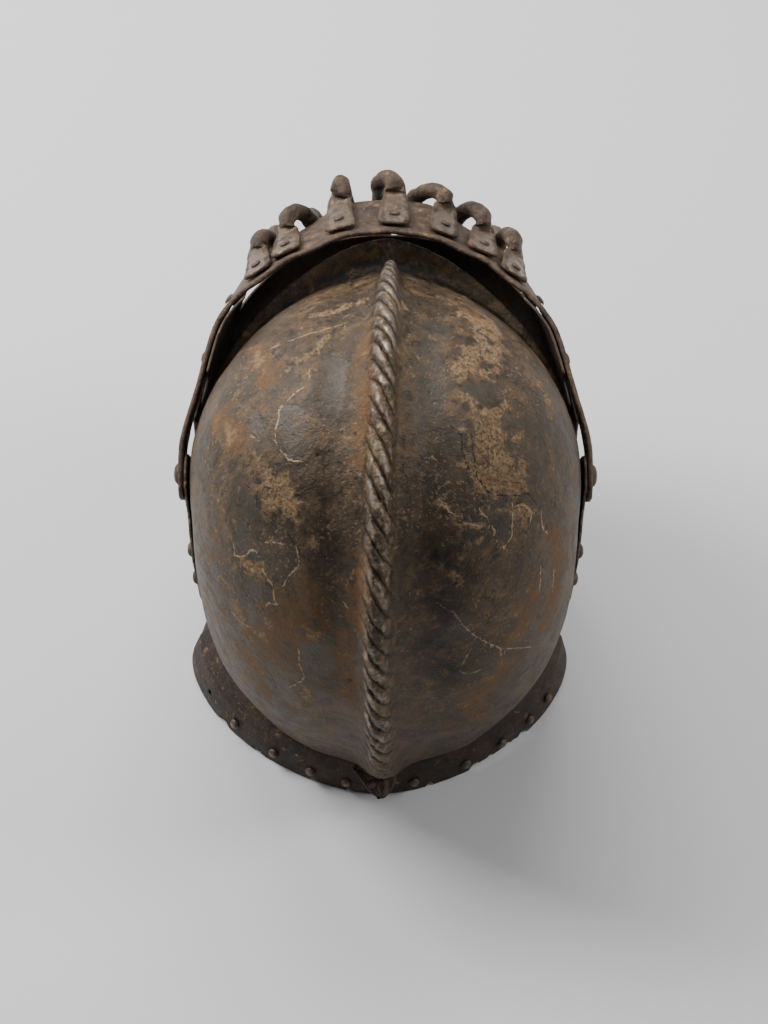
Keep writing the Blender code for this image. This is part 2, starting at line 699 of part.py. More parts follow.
def turned_profile(kind, grip):
    """Returns the mesh of a rivet's half outline, from the top of its head down to its tail."""
    name = f"{kind}_rivet_{round(grip * 1e5)}"
    mesh = bpy.data.meshes.get(name)
    if mesh:
        return mesh
    head, dome, shank, _ = RIVETS[kind]
    points = ((0.0, dome), (0.32 * head, 0.78 * dome), (0.5 * head, 0.0), (0.5 * shank, 0.0),
              (0.5 * shank, -grip), (0.0, -grip))
    mesh = bpy.data.meshes.new(name)
    mesh.from_pydata([(x, 0.0, z) for x, z in points], [(i, i + 1) for i in range(len(points) - 1)], [])
    mesh.materials.append(iron("rivet"))
    return mesh


class Riveting:
    """Sets rivets and remembers the hole that each needs in the plates it goes through."""

    def __init__(self, parts, cutters):
        self.parts = parts
        self.cutters = cutters
        self.holes = {}

    def drill(self, seat, axis, kind, plates):
        """Notes a hole for a kind of rivet through the named plates."""
        for name in plates:
            self.holes.setdefault(name, []).append((seat, axis, kind))

    def rivet(self, name, kind, seat, axis, grip, plates):
        """Sets one rivet with its head's underside at the seat, through the named plates."""
        piece = bpy.data.objects.new(name, turned_profile(kind, grip + TAIL_OF_RIVET))
        self.parts.objects.link(piece)
        turn = Vector((0.0, 0.0, 1.0)).rotation_difference(axis).to_matrix().to_4x4()
        piece.matrix_world = Matrix.Translation(seat + axis * GAP) @ turn
        screw = piece.modifiers.new("Turned", "SCREW")
        screw.steps = RIVETS[kind][3]
        screw.render_steps = RIVETS[kind][3]
        screw.use_merge_vertices = True
        screw.merge_threshold = 0.00001
        self.drill(seat, axis, kind, plates)

    def cut(self):
        """Cuts the noted holes, with one cutter for each plate."""
        for name, holes in self.holes.items():
            tool = bmesh.new()
            for seat, axis, kind in holes:
                shank, steps = RIVETS[kind][2:]
                radius = shank / 2 + HOLE_CLEARANCE
                turn = Vector((0.0, 0.0, 1.0)).rotation_difference(axis).to_matrix().to_4x4()
                place = Matrix.Translation(seat) @ turn
                bmesh.ops.create_cone(tool, cap_ends=True, segments=steps, radius1=radius,
                                      radius2=radius, depth=0.024, matrix=place)
            add_cutter(name, tool, self.cutters)


def add_cutter(target, tool, cutters):
    """Turns a bmesh into a cutter object and takes it out of the named piece."""
    mesh = bpy.data.meshes.new(f"{target}_cut")
    tool.to_mesh(mesh)
    tool.free()
    cutter = bpy.data.objects.new(mesh.name, mesh)
    cutters.objects.link(cutter)
    cutter.hide_render = True
    cutter.display_type = "WIRE"
    cut = bpy.data.objects[target].modifiers.new("Cut", "BOOLEAN")
    cut.operation = "DIFFERENCE"
    cut.solver = "EXACT"
    cut.object = cutter


def cut_notch(cutters):
    """Cuts the nick in the middle of the rear collar's lower edge."""
    tool = bmesh.new()
    rim = collar_point(0.0, 0.0)
    size = Matrix.Diagonal((NOTCH_WIDTH, 6 * COLLAR_PLATE, 2 * NOTCH_DEPTH, 1.0))
    bmesh.ops.create_cube(tool, size=1.0, matrix=Matrix.Translation((-NOTCH_WIDTH, rim.y, 0.0)) @ size)
    add_cutter("collar_rear", tool, cutters)


def set_rivets(riveting, tail):
    """Sets every rivet of the helmet."""
    shell = BEVOR_STANDOFF + SKULL_PLATE
    for side, hand in ((1.0, "left"), (-1.0, "right")):
        out = Vector((side, 0.0, 0.0))
        grip = BAND_PLATE + GAP + BEVOR_PLATE + shell
        riveting.rivet(f"pivot_{hand}", "pivot", PIVOT + out * ARM_OUTER, out, grip,
                       ("visor_band", "bevor", "skull"))
        for index, height in enumerate(BEVOR_RIVET_HEIGHTS):
            around = side * BEVOR_RIVET_AROUND
            riveting.rivet(f"bevor_rivet_{hand}_{index + 1}", "bevor", bevor_point(height, around),
                           outward(bevor_point, height, around), BEVOR_PLATE + shell, ("bevor", "skull"))
        for index, station in enumerate(CHEEK_RIVET_STATIONS):
            cheek = f"visor_cheek_{hand}"
            seat = band_point(side * station, 0.0)
            riveting.rivet(f"cheek_rivet_{hand}_{index + 1}", "cheek", seat,
                           outward(band_point, side * station, 0.0),
                           BAND_PLATE + CHEEK_CLEARANCE + CHEEK_PLATE, ("visor_band", cheek))
            around = strap_under(side * station)
            riveting.rivet(f"cheek_rivet_{hand}_{index + 3}", "cheek", strap_point(around, -0.5),
                           outward(strap_point, around, -0.5),
                           STRAP_PLATE + CHEEK_CLEARANCE + CHEEK_PLATE, ("visor_lower_strap", cheek))
    for number, (band_x, _, strap_x, _) in enumerate(BARS, 1):
        ends = bar_ends(band_x, strap_x)
        for seat, share, place, plate_depth in ((ends[0], 0.30, "upper", BAND_PLATE),
                                                (ends[1], 0.45, "lower", STRAP_PLATE)):
            (start, _), (end, normal), _ = seat
            target = "visor_band" if place == "upper" else "visor_lower_strap"
            riveting.rivet(f"bar_rivet_{number}_{place}", "bar",
                           start.lerp(end, 2 * share) + normal * PADDLE_PLATE / 2, normal,
                           PADDLE_PLATE + SEAT_CLEARANCE + plate_depth, (f"bar_{number}", target))
    for number, around in enumerate(COLLAR_RIVETS, 1):
        lapped = abs(around) > 1.0 - COLLAR_LAP
        plates = ("collar_rear", "collar_front") if lapped else ("collar_rear",)
        grip = (2 * COLLAR_PLATE + GAP) if lapped else COLLAR_PLATE
        riveting.rivet(f"collar_rivet_{number}", "collar", collar_point(around, COLLAR_RIVET_HEIGHT),
                       outward(collar_point, around, COLLAR_RIVET_HEIGHT), grip, plates)
    riveting.drill(collar_point(COLLAR_EMPTY_HOLE, COLLAR_RIVET_HEIGHT),
                   outward(collar_point, COLLAR_EMPTY_HOLE, COLLAR_RIVET_HEIGHT),
                   "collar", ("collar_rear", "collar_front"))
    base, along, up = tail
    seat = base + along * 0.62 * TAIL_LENGTH + Vector((0.12 * TAIL_WIDTH, 0.0, 0.0))
    riveting.rivet("tail_rivet", "tail", seat, up, TAIL_PLATE, ("comb_tail",))


def hang_visor(parts):
    """Hangs every piece of the visor on an empty at the pivots."""
    hinge = bpy.data.objects.new("visor_hinge", None)
    hinge.location = PIVOT
    hinge.empty_display_size = ARM_WIDTH
    parts.objects.link(hinge)
    for piece in parts.objects:
        if piece.name.startswith(("visor_band", "visor_lower", "visor_cheek", "bar_", "cheek_rivet")):
            piece.parent = hinge
            piece.matrix_parent_inverse = Matrix.Translation(-PIVOT)


def main():
    """Builds the helmet."""
    clear_scene()
    parts = new_collection("tournament_helmet")
    cutters = new_collection("cutters")
    build_skull(parts)
    build_bevor(parts)
    build_collar_rear(parts)
    build_collar_front(parts)
    build_band(parts)
    build_strap(parts)
    build_cheek("visor_cheek_left", 1.0, parts)
    build_cheek("visor_cheek_right", -1.0, parts)
    for number, (band_x, arch_x, strap_x, crest) in enumerate(BARS, 1):
        build_bar(f"bar_{number}", bar_route(band_x, arch_x, strap_x, crest), parts)
    tail = build_tail(parts)
    riveting = Riveting(parts, cutters)
    set_rivets(riveting, tail)
    riveting.cut()
    cut_notch(cutters)
    hang_visor(parts)


main()
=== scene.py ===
"""Looks of the tournament helmet: hammered iron under an old waxed patina, worn, crusted and flaked.

Every piece is a finer mesh of the same form as its CAD node, in metres and in the frame of the
CAD model. Most points are written from the pivot point, the middle of the line that joins the
two visor pivots.
"""

import logging
import math
from collections.abc import Callable, Iterable, Sequence
from dataclasses import dataclass, field
from enum import Enum

import bmesh
import bpy
import numpy as np
from mathutils import Matrix, Vector, noise

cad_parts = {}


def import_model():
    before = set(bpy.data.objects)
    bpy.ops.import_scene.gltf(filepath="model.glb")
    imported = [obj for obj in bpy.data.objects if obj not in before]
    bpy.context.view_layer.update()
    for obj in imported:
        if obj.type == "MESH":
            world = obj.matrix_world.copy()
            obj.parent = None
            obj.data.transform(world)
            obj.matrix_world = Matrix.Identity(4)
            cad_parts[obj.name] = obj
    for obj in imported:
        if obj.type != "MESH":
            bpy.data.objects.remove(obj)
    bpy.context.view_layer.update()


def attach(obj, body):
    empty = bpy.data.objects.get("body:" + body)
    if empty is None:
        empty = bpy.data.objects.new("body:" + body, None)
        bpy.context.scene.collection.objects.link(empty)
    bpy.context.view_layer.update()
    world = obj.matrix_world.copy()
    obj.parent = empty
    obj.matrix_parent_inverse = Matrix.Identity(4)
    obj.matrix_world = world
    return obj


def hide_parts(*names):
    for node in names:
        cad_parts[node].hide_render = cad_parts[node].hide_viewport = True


log = logging.getLogger("helmet")

Row = Sequence[float]
Surface = Callable[[float, float], Vector]
Socket = bpy.types.NodeSocket

MM = 0.001
PIVOT = Vector((0.0, 0.0325, 0.175))
NORMAL_STEP = 0.004


class Body(Enum):
    """The two bodies of the frame."""

    HELMET = "helmet"
    VISOR = "visor"


class Stain(Enum):
    """What a mark on the bowl is. Its value names the attribute that holds it."""

    CRUST = "crust"
    SLATE = "slate"
    RUST = "rust"
    GRIME = "grime"
    LINE = "line"
    CRACK = "crack"
    PIT = "pit"


# Forms shared by the pieces


def lerp(low: float, high: float, share: float) -> float:
    """Returns the value that lies at a share between two values."""
    return low + (high - low) * share


def smooth_row(table: Sequence[Row], position: float) -> list[float]:
    """Reads a table of rows at a fractional row, along a smooth curve through the rows.

    Args:
        table: the rows, each with the same columns.
        position: the row to read, from 0 to the last.

    Returns:
        The value of each column there.
    """
    last = len(table) - 1
    index = min(int(position), last - 1)
    share = position - index
    before, start, end, after = (table[max(index - 1, 0)], table[index],
                                 table[index + 1], table[min(index + 2, last)])
    row = []
    for one, two, three, four in zip(before, start, end, after):
        leaving = (three - one) / 2
        arriving = (four - two) / 2
        rise = three - two
        row.append(two + share * (leaving + share * (3 * rise - 2 * leaving - arriving
                                                     + share * (leaving + arriving - 2 * rise))))
    return row


def share_at(profile: Sequence[Row], position: float) -> float:
    """Reads a two-column profile at a position, straight between its rows."""
    for (low, first), (high, second) in zip(profile, profile[1:]):
        if position <= high:
            return lerp(first, second, (position - low) / (high - low))
    return profile[-1][1]


def arch(angle: float, exponent: float) -> tuple[float, float]:
    """Returns the side and crest shares of a rounded arch at an angle from its crest."""
    return abs(math.sin(angle)) ** (2 / exponent), abs(math.cos(angle)) ** (2 / exponent)


def outward(surface: Surface, u: float, v: float) -> Vector:
    """Returns the unit normal of a surface function, turned away from the helmet's middle."""
    step = NORMAL_STEP / 2
    along = surface(u + step, v) - surface(u - step, v)
    across = surface(u, v + step) - surface(u, v - step)
    normal = along.cross(across).normalized()
    place = surface(u, v)
    return normal if normal.dot(place - Vector((0.0, PIVOT.y, place.z))) > 0 else -normal


def solve(function: Callable[[float], float], target: float, low: float, high: float) -> float:
    """Returns where a rising function reaches the target, between two bounds."""
    for _ in range(30):
        middle = (low + high) / 2
        if function(middle) < target:
            low = middle
        else:
            high = middle
    return (low + high) / 2


def spread(stops: Sequence[tuple[float, int]]) -> list[float]:
    """Returns values that run through the stops, with each stop's number of steps to the next one."""
    values = [stops[0][0]]
    for (start, steps), (end, _) in zip(stops, stops[1:]):
        values += [lerp(start, end, (step + 1) / steps) for step in range(steps)]
    return values


def rough(points: np.ndarray, size: float, seed: float, octaves: int = 3) -> np.ndarray:
    """Returns a noise value of about -1 to 1 for each point.

    Args:
        points: an array of points, with the coordinates last.
        size: how wide the noise's features are, in metres.
        seed: moves the noise, so that two fields differ.
        octaves: how many finer layers the noise has.

    Returns:
        An array of the points' shape without the coordinates.
    """
    flat = points.reshape(-1, 3) / size + seed
    values = [noise.fractal(Vector(point), 1.0, 2.1, octaves) for point in flat]
    return np.array(values).reshape(points.shape[:-1])


def normals_of(points: np.ndarray) -> np.ndarray:
    """Returns the unit normals of a grid of points, turned away from the helmet's middle."""
    normals = np.cross(np.gradient(points, axis=0), np.gradient(points, axis=1))
    normals /= np.maximum(np.linalg.norm(normals, axis=-1, keepdims=True), 1e-12)
    away = points - np.array(PIVOT)
    away[..., 2] *= 0.3
    return normals if np.sum(normals * away) > 0 else -normals


def convexity(points: np.ndarray, normals: np.ndarray, reach: int, size: float) -> np.ndarray:
    """Returns how far each point of a grid stands out of its surroundings.

    Args:
        points: the grid.
        normals: its normals.
        reach: how many steps away the surroundings lie.
        size: the height that counts as 1, in metres.

    Returns:
        An array of about -1 to 1, above 0 on ridges and edges.
    """
    padded = np.pad(points, ((reach, reach), (reach, reach), (0, 0)), mode="edge")
    rows, columns = points.shape[:2]
    around = np.zeros_like(points)
    steps = [(r, c) for r in (-reach, 0, reach) for c in (-reach, 0, reach) if r or c]
    for r, c in steps:
        around += padded[reach + r:reach + r + rows, reach + c:reach + c + columns]
    lift = np.sum((points - around / len(steps)) * normals, axis=-1)
    return np.clip(lift / size, -1.0, 1.0)


@dataclass
class Shell:
    """A plate: a grid of outer points, closed by an inner face and a rounded rim.

    Attributes:
        points: the grid of the outer face.
        thickness: how thick the plate is.
        coarse: the inner face has one step for this many of the outer face's.
        ragged: how far the worn edge is eaten in.
        fields: values for each outer point, which the materials read by name.
    """

    points: np.ndarray
    thickness: float
    coarse: int = 1
    ragged: float = 0.0
    fields: dict[str, np.ndarray] = field(default_factory=dict)

    RIM_TURNS = (40.0, 90.0, 140.0)
    RIM_DEPTH = 0.7
    DRAWN_IN = 0.35
    ROOM_USED = 0.8
    FINE_BITE = 5.0 * MM
    BROAD_BITE = 14.0 * MM
    EDGE_WEAR = 0.7
    # How much of the painted inner shade the rim's last loop takes.
    RIM_INNER_SHADE = 0.6

    def ring(self) -> list[tuple[int, int]]:
        """Returns the places of the grid's edge points, in order round it."""
        rows, columns = self.points.shape[:2]
        walk = [(0, c) for c in range(columns)] + [(r, columns - 1) for r in range(1, rows)]
        walk += [(rows - 1, c) for c in range(columns - 2, -1, -1)]
        return walk + [(r, 0) for r in range(rows - 2, 0, -1)]

    def draw_in_edge(self) -> np.ndarray:
        """Moves the edge in to make room for the round rim, and returns the ways out of it."""
        walk = self.ring()
        rows, columns = self.points.shape[:2]
        rr = np.array([r for r, _ in walk])
        cc = np.array([c for _, c in walk])
        inner_r = np.clip(rr, 1, rows - 2)
        inner_c = np.clip(cc, 1, columns - 2)
        ways = self.points[rr, cc] - self.points[inner_r, inner_c]
        room = np.linalg.norm(ways, axis=-1, keepdims=True)
        ways /= np.maximum(room, 1e-9)
        eaten = np.full((len(walk), 1), self.thickness * self.DRAWN_IN)
        if self.ragged:
            edge = self.points[rr, cc]
            bite = rough(edge, self.FINE_BITE, 3.7, 3) + 0.5 * rough(edge, self.BROAD_BITE, 9.1)
            eaten += self.ragged * np.clip(bite, 0.0, 1.2)[:, None]
        self.points[rr, cc] -= ways * np.minimum(eaten, room * self.ROOM_USED)
        return ways

    def build(self, name: str, finish: "IronFinish") -> bpy.types.Object:
        """Makes the closed mesh.

        Args:
            name: the piece's name.
            finish: the iron that it is dressed in.

        Returns:
            The new object, linked to the scene.
        """
        ways = self.draw_in_edge()
        normals = normals_of(self.points)
        rows, columns = self.points.shape[:2]
        walk = self.ring()
        index = np.arange(rows * columns).reshape(rows, columns)
        loop = [int(index[place]) for place in walk]
        vertices = [self.points.reshape(-1, 3)]
        edge_points = self.points.reshape(-1, 3)[loop]
        edge_normals = normals.reshape(-1, 3)[loop]
        half = self.thickness / 2
        loops = [loop]
        count = rows * columns
        for turn in self.RIM_TURNS:
            angle = math.radians(turn)
            vertices.append(edge_points - edge_normals * half * (1 - math.cos(angle))
                            + ways * half * self.RIM_DEPTH * math.sin(angle))
            loops.append(list(range(count, count + len(loop))))
            count += len(loop)
        inner = (self.points - normals * self.thickness)[::self.coarse, ::self.coarse]
        vertices.append(inner.reshape(-1, 3))
        inner_rows, inner_columns = inner.shape[:2]
        inner_index = np.arange(inner_rows * inner_columns).reshape(inner_rows, inner_columns) + count
        faces = quads(index) + [face[::-1] for face in quads(inner_index)]
        for first, second in zip(loops, loops[1:]):
            for one in range(len(loop)):
                two = (one + 1) % len(loop)
                faces.append((first[two], first[one], second[one], second[two]))
        faces += self.inner_fans(loops[-1], [int(inner_index[r // self.coarse, c // self.coarse])
                                             for r, c in walk])
        cloud = np.concatenate(vertices)
        outer = rows * columns
        edge_wear = np.zeros(len(cloud))
        edge_wear[outer:count] = 1.0
        edge_wear[loop] = self.EDGE_WEAR
        # Painted shade: the material darkens the inner face fully and the rim's last loop in part.
        inside = np.zeros(len(cloud))
        inside[count:] = 1.0
        inside[count - len(loop):count] = self.RIM_INNER_SHADE
        fields = {"edge": edge_wear, "inside": inside}
        for key, values in self.fields.items():
            flat = values.reshape(-1)
            fields[key] = np.concatenate([flat, np.tile(flat[loop], len(self.RIM_TURNS)),
                                          np.zeros(inner_rows * inner_columns)])
        return make_mesh(name, cloud, faces, finish, fields)

    def inner_fans(self, fine: list[int], coarse: list[int]) -> list[tuple[int, ...]]:
        """Returns the faces between the rim's last loop and the inner face's edge."""
        faces: list[tuple[int, ...]] = []
        count = len(fine)
        for start in range(0, count, self.coarse):
            after = start + self.coarse
            turning = start + self.coarse // 2
            old, now = coarse[start], coarse[after % count]
            for step in range(start, after):
                anchor = old if step < turning else now
                faces.append((fine[(step + 1) % count], fine[step % count], anchor))
            faces.append((fine[turning % count], old, now))
        return faces


def quads(index: np.ndarray) -> list[tuple[int, ...]]:
    """Returns the four-sided faces of a grid of vertex numbers."""
    corners = (index[:-1, :-1], index[1:, :-1], index[1:, 1:], index[:-1, 1:])
    return [tuple(int(c) for c in face) for face in np.stack([c.reshape(-1) for c in corners], axis=-1)]


def make_mesh(name: str, cloud: np.ndarray, faces: Iterable[tuple[int, ...]], finish: "IronFinish",
              fields: dict[str, np.ndarray]) -> bpy.types.Object:
    """Makes a smooth mesh object whose vertices carry named values.

    Args:
        name: the piece's name.
        cloud: its vertices.
        faces: its faces.
        finish: the iron that it is dressed in.
        fields: a value for each vertex, under the name that the material reads.

    Returns:
        The new object, linked to the scene, with its faces turned outward.
    """
    mesh = bpy.data.meshes.new(name)
    mesh.from_pydata([tuple(point) for point in cloud], [], list(faces))
    mesh.update()
    for key, values in fields.items():
        mesh.attributes.new(key, "FLOAT", "POINT").data.foreach_set("value", values.astype(np.float32))
    tidy = bmesh.new()
    tidy.from_mesh(mesh)
    bmesh.ops.recalc_face_normals(tidy, faces=tidy.faces)
    tidy.to_mesh(mesh)
    tidy.free()
    mesh.shade_smooth()
    mesh.materials.append(finish.material())
    return add_object(name, mesh)


def add_object(name: str, data: bpy.types.ID) -> bpy.types.Object:
    """Adds an object with this data to the scene and returns it."""
    made = bpy.data.objects.new(name, data)
    bpy.context.scene.collection.objects.link(made)
    return made


def place(piece: bpy.types.Object, body: Body, slot: str, *nodes: str) -> None:
    """Hangs a piece on its body, in place of its CAD nodes, and reports it."""
    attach(piece, body.value)
    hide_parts(*nodes)
    log.info("%s: %d faces for %s", piece.name, len(piece.data.polygons), ", ".join(nodes))


# The bowl


@dataclass(frozen=True)
class Mark:
    """A stain, flake or pit on the bowl, put where the real one is.

    Attributes:
        kind: what it is.
        radius: half its width, in millimetres.
        path: its points as rows and columns of the bowl.
    """

    kind: Stain
    radius: float
    path: tuple[tuple[float, float], ...]


MARKS = (
    Mark(Stain.SLATE, 9.2, ((4.7, 0.27), (4.87, 0.27), (5.1, 0.26))),
    Mark(Stain.SLATE, 4.3, ((4.6, 0.42), (4.8, 0.41))),
    Mark(Stain.SLATE, 5.9, ((3.93, 0.14), (4.3, 0.15), (4.67, 0.16))),
    Mark(Stain.SLATE, 5.9, ((5.6, 0.48), (5.93, 0.45))),
    Mark(Stain.SLATE, 11.9, ((6.3, 0.44), (6.4, 0.39), (6.43, 0.32))),
    Mark(Stain.SLATE, 8.1, ((6.5, 0.35), (6.6, 0.32))),
    Mark(Stain.SLATE, 4.9, ((6.93, 0.44), (7.1, 0.43))),
    Mark(Stain.SLATE, 4.9, ((7.47, 0.44), (7.73, 0.42))),
    Mark(Stain.SLATE, 10.8, ((7.67, 0.21), (7.93, 0.17))),
    Mark(Stain.SLATE, 3.2, ((3.07, -0.3), (3.53, -0.32))),
    Mark(Stain.SLATE, 4.9, ((4.4, -0.26), (4.17, -0.36))),
    Mark(Stain.SLATE, 7.0, ((4.9, -0.2), (5.2, -0.21), (5.47, -0.22))),
    Mark(Stain.SLATE, 7.6, ((5.87, -0.34), (6.13, -0.36))),
    Mark(Stain.SLATE, 6.5, ((5.87, -0.26), (6.27, -0.29))),
    Mark(Stain.SLATE, 8.6, ((3.4, -0.14), (4.23, -0.13), (5.0, -0.14), (5.7, -0.16))),
    Mark(Stain.SLATE, 3.2, ((7.03, -0.59), (7.4, -0.61))),
    Mark(Stain.SLATE, 7.6, ((7.5, -0.21), (7.37, -0.24))),
    Mark(Stain.CRUST, 4.3, ((2.87, -0.25), (2.93, -0.29), (3.23, -0.31), (3.6, -0.29), (3.9, -0.26),
                            (4.07, -0.23))),
    Mark(Stain.CRUST, 3.8, ((2.6, -0.34), (3.03, -0.37), (3.33, -0.38), (3.7, -0.34))),
    Mark(Stain.CRUST, 3.2, ((4.0, -0.32), (3.93, -0.35))),
    Mark(Stain.CRUST, 2.2, ((4.43, -0.24), (4.5, -0.25))),
    Mark(Stain.CRUST, 2.7, ((4.57, -0.28), (4.63, -0.33), (4.43, -0.38))),
    Mark(Stain.CRUST, 9.2, ((4.97, -0.31), (5.1, -0.35), (5.33, -0.36), (5.5, -0.39))),
    Mark(Stain.CRUST, 5.4, ((5.43, -0.28), (5.6, -0.35), (5.53, -0.44))),
    Mark(Stain.CRUST, 2.7, ((5.17, -0.44), (5.4, -0.46))),
    Mark(Stain.CRUST, 3.8, ((3.63, -0.55), (3.8, -0.6))),
    Mark(Stain.CRUST, 4.3, ((5.87, -0.44), (6.0, -0.47))),
    Mark(Stain.CRUST, 2.2, ((6.23, -0.28), (6.23, -0.29))),
    Mark(Stain.CRUST, 7.0, ((5.57, 0.35), (5.7, 0.31), (5.83, 0.29))),
    Mark(Stain.CRUST, 3.2, ((4.6, 0.55), (4.77, 0.53))),
    Mark(Stain.CRUST, 2.7, ((3.03, 0.23), (2.97, 0.18), (2.9, 0.13), (2.9, 0.08))),
    Mark(Stain.CRUST, 2.2, ((4.0, 0.31), (3.87, 0.26), (3.73, 0.21), (3.5, 0.18))),
    Mark(Stain.CRUST, 2.7, ((3.33, 0.44), (3.63, 0.42))),
    Mark(Stain.CRUST, 4.9, ((6.67, 0.46), (6.67, 0.41))),
    Mark(Stain.CRUST, 2.7, ((7.2, 0.6), (7.23, 0.57))),
    Mark(Stain.CRUST, 3.2, ((7.43, 0.52), (7.67, 0.51))),
    Mark(Stain.CRUST, 3.2, ((7.43, 0.22), (7.47, 0.19))),
    Mark(Stain.CRUST, 2.2, ((7.5, 0.38), (7.57, 0.37))),
    Mark(Stain.CRUST, 2.7, ((7.83, 0.43), (7.87, 0.4))),
    Mark(Stain.CRUST, 2.7, ((8.53, 0.25), (8.77, 0.23))),
    Mark(Stain.CRUST, 2.2, ((5.77, -0.17), (5.87, -0.19))),
    Mark(Stain.CRUST, 1.6, ((5.9, -0.2), (6.03, -0.24), (6.07, -0.29))),
    Mark(Stain.CRUST, 2.2, ((6.63, -0.22), (6.7, -0.23))),
    Mark(Stain.CRUST, 2.2, ((8.0, -0.22), (8.07, -0.24))),
    Mark(Stain.CRUST, 1.6, ((8.1, -0.21), (8.13, -0.21))),
    Mark(Stain.CRUST, 4.9, ((3.23, -0.02), (3.17, -0.05))),
    Mark(Stain.RUST, 14.0, ((7.07, 0.25), (7.5, 0.3), (8.0, 0.37))),
    Mark(Stain.RUST, 8.6, ((8.57, 0.47), (9.13, 0.42))),
    Mark(Stain.RUST, 6.5, ((7.1, -0.53), (7.4, -0.49), (7.83, -0.46), (8.0, -0.41))),
    Mark(Stain.RUST, 7.0, ((8.37, -0.4), (8.67, -0.35), (8.87, -0.28), (9.5, -0.32))),
    Mark(Stain.RUST, 8.6, ((6.47, -0.63), (6.93, -0.67), (8.0, -0.63))),
    Mark(Stain.RUST, 6.5, ((2.7, -0.28), (3.07, -0.33))),
    Mark(Stain.RUST, 7.6, ((4.33, 0.57), (4.87, 0.53))),
    Mark(Stain.RUST, 5.4, ((3.17, 0.44), (4.0, 0.38))),
    Mark(Stain.RUST, 5.4, ((3.57, 0.05), (4.57, 0.04), (5.27, 0.05))),
    Mark(Stain.RUST, 4.9, ((6.37, 0.04), (7.07, 0.05))),
    Mark(Stain.RUST, 6.5, ((7.43, 0.1), (8.57, 0.08))),
    Mark(Stain.GRIME, 7.6, ((6.87, -0.16), (7.07, -0.19))),
    Mark(Stain.GRIME, 8.6, ((6.4, -0.17), (6.6, -0.22))),
    Mark(Stain.GRIME, 10.8, ((7.67, -0.18), (8.27, -0.21))),
    Mark(Stain.LINE, 1.1, ((4.33, 0.25), (4.4, 0.28), (4.5, 0.31), (4.57, 0.33), (4.73, 0.33),
                           (4.8, 0.34), (5.0, 0.34), (5.13, 0.32), (5.27, 0.29), (5.3, 0.25))),
    Mark(Stain.LINE, 1.1, ((4.07, 0.23), (4.2, 0.23))),
    Mark(Stain.LINE, 1.1, ((4.83, 0.45), (4.93, 0.41))),
    Mark(Stain.CRACK, 1.1, ((5.57, 0.46), (5.67, 0.41), (5.87, 0.41), (6.0, 0.36), (6.1, 0.31),
                            (6.27, 0.27))),
    Mark(Stain.LINE, 0.8, ((3.4, 0.38), (3.43, 0.29), (3.4, 0.2), (3.3, 0.13))),
    Mark(Stain.LINE, 1.1, ((6.47, 0.52), (6.63, 0.52), (6.57, 0.47), (6.43, 0.43), (6.5, 0.41))),
    Mark(Stain.LINE, 1.1, ((6.6, 0.39), (6.7, 0.39), (6.87, 0.35), (7.03, 0.35), (7.13, 0.33),
                           (7.13, 0.37), (7.2, 0.38))),
    Mark(Stain.LINE, 1.1, ((6.33, 0.26), (6.53, 0.25), (6.67, 0.29), (6.8, 0.31))),
    Mark(Stain.LINE, 1.1, ((7.77, 0.54), (7.83, 0.5), (7.8, 0.46))),
    Mark(Stain.LINE, 1.1, ((6.87, 0.11), (6.97, 0.09))),
    Mark(Stain.LINE, 1.1, ((7.8, 0.26), (8.1, 0.26), (8.3, 0.24), (8.43, 0.26), (8.63, 0.3))),
    Mark(Stain.LINE, 1.1, ((6.33, 0.39), (6.3, 0.36), (6.3, 0.31))),
    Mark(Stain.LINE, 1.4, ((5.83, -0.41), (6.03, -0.41), (6.23, -0.41), (6.37, -0.38), (6.3, -0.35))),
    Mark(Stain.LINE, 1.1, ((5.87, -0.29), (6.0, -0.32), (6.13, -0.34), (6.2, -0.34), (6.33, -0.36))),
    Mark(Stain.LINE, 1.6, ((5.77, -0.17), (5.9, -0.2), (6.03, -0.24), (6.07, -0.29))),
    Mark(Stain.LINE, 1.1, ((5.83, -0.42), (5.83, -0.46), (5.93, -0.49), (6.1, -0.49))),
    Mark(Stain.CRACK, 1.1, ((4.97, -0.26), (5.33, -0.27), (5.47, -0.28), (5.67, -0.32), (5.7, -0.38),
                            (5.7, -0.44), (5.67, -0.48), (5.83, -0.51))),
    Mark(Stain.CRACK, 1.1, ((4.87, -0.2), (4.97, -0.23), (5.17, -0.23), (5.37, -0.25))),
    Mark(Stain.LINE, 0.8, ((6.97, -0.17), (7.13, -0.22), (7.37, -0.25), (7.7, -0.31), (8.0, -0.38),
                           (8.37, -0.51))),
    Mark(Stain.LINE, 1.1, ((8.0, -0.38), (8.3, -0.39))),
    Mark(Stain.LINE, 1.1, ((7.83, -0.27), (8.03, -0.25))),
    Mark(Stain.LINE, 1.1, ((8.17, -0.24), (8.27, -0.27), (8.27, -0.31))),
    Mark(Stain.LINE, 1.1, ((6.83, -0.55), (7.27, -0.55))),
    Mark(Stain.LINE, 1.1, ((7.1, -0.63), (7.53, -0.63))),
    Mark(Stain.LINE, 1.1, ((5.97, -0.54), (6.2, -0.55), (6.33, -0.58))),
    Mark(Stain.PIT, 1.0, ((5.0, 0.09),)),
    Mark(Stain.PIT, 0.9, ((5.0, 0.07),)),
    Mark(Stain.PIT, 0.8, ((5.13, 0.09),)),
    Mark(Stain.PIT, 0.7, ((5.2, 0.09),)),
    Mark(Stain.PIT, 1.2, ((8.17, 0.08),)),
    Mark(Stain.PIT, 0.9, ((8.23, -0.07),)),
    Mark(Stain.PIT, 0.8, ((5.43, 0.11),)),
    Mark(Stain.PIT, 0.8, ((5.23, 0.19),)),
)


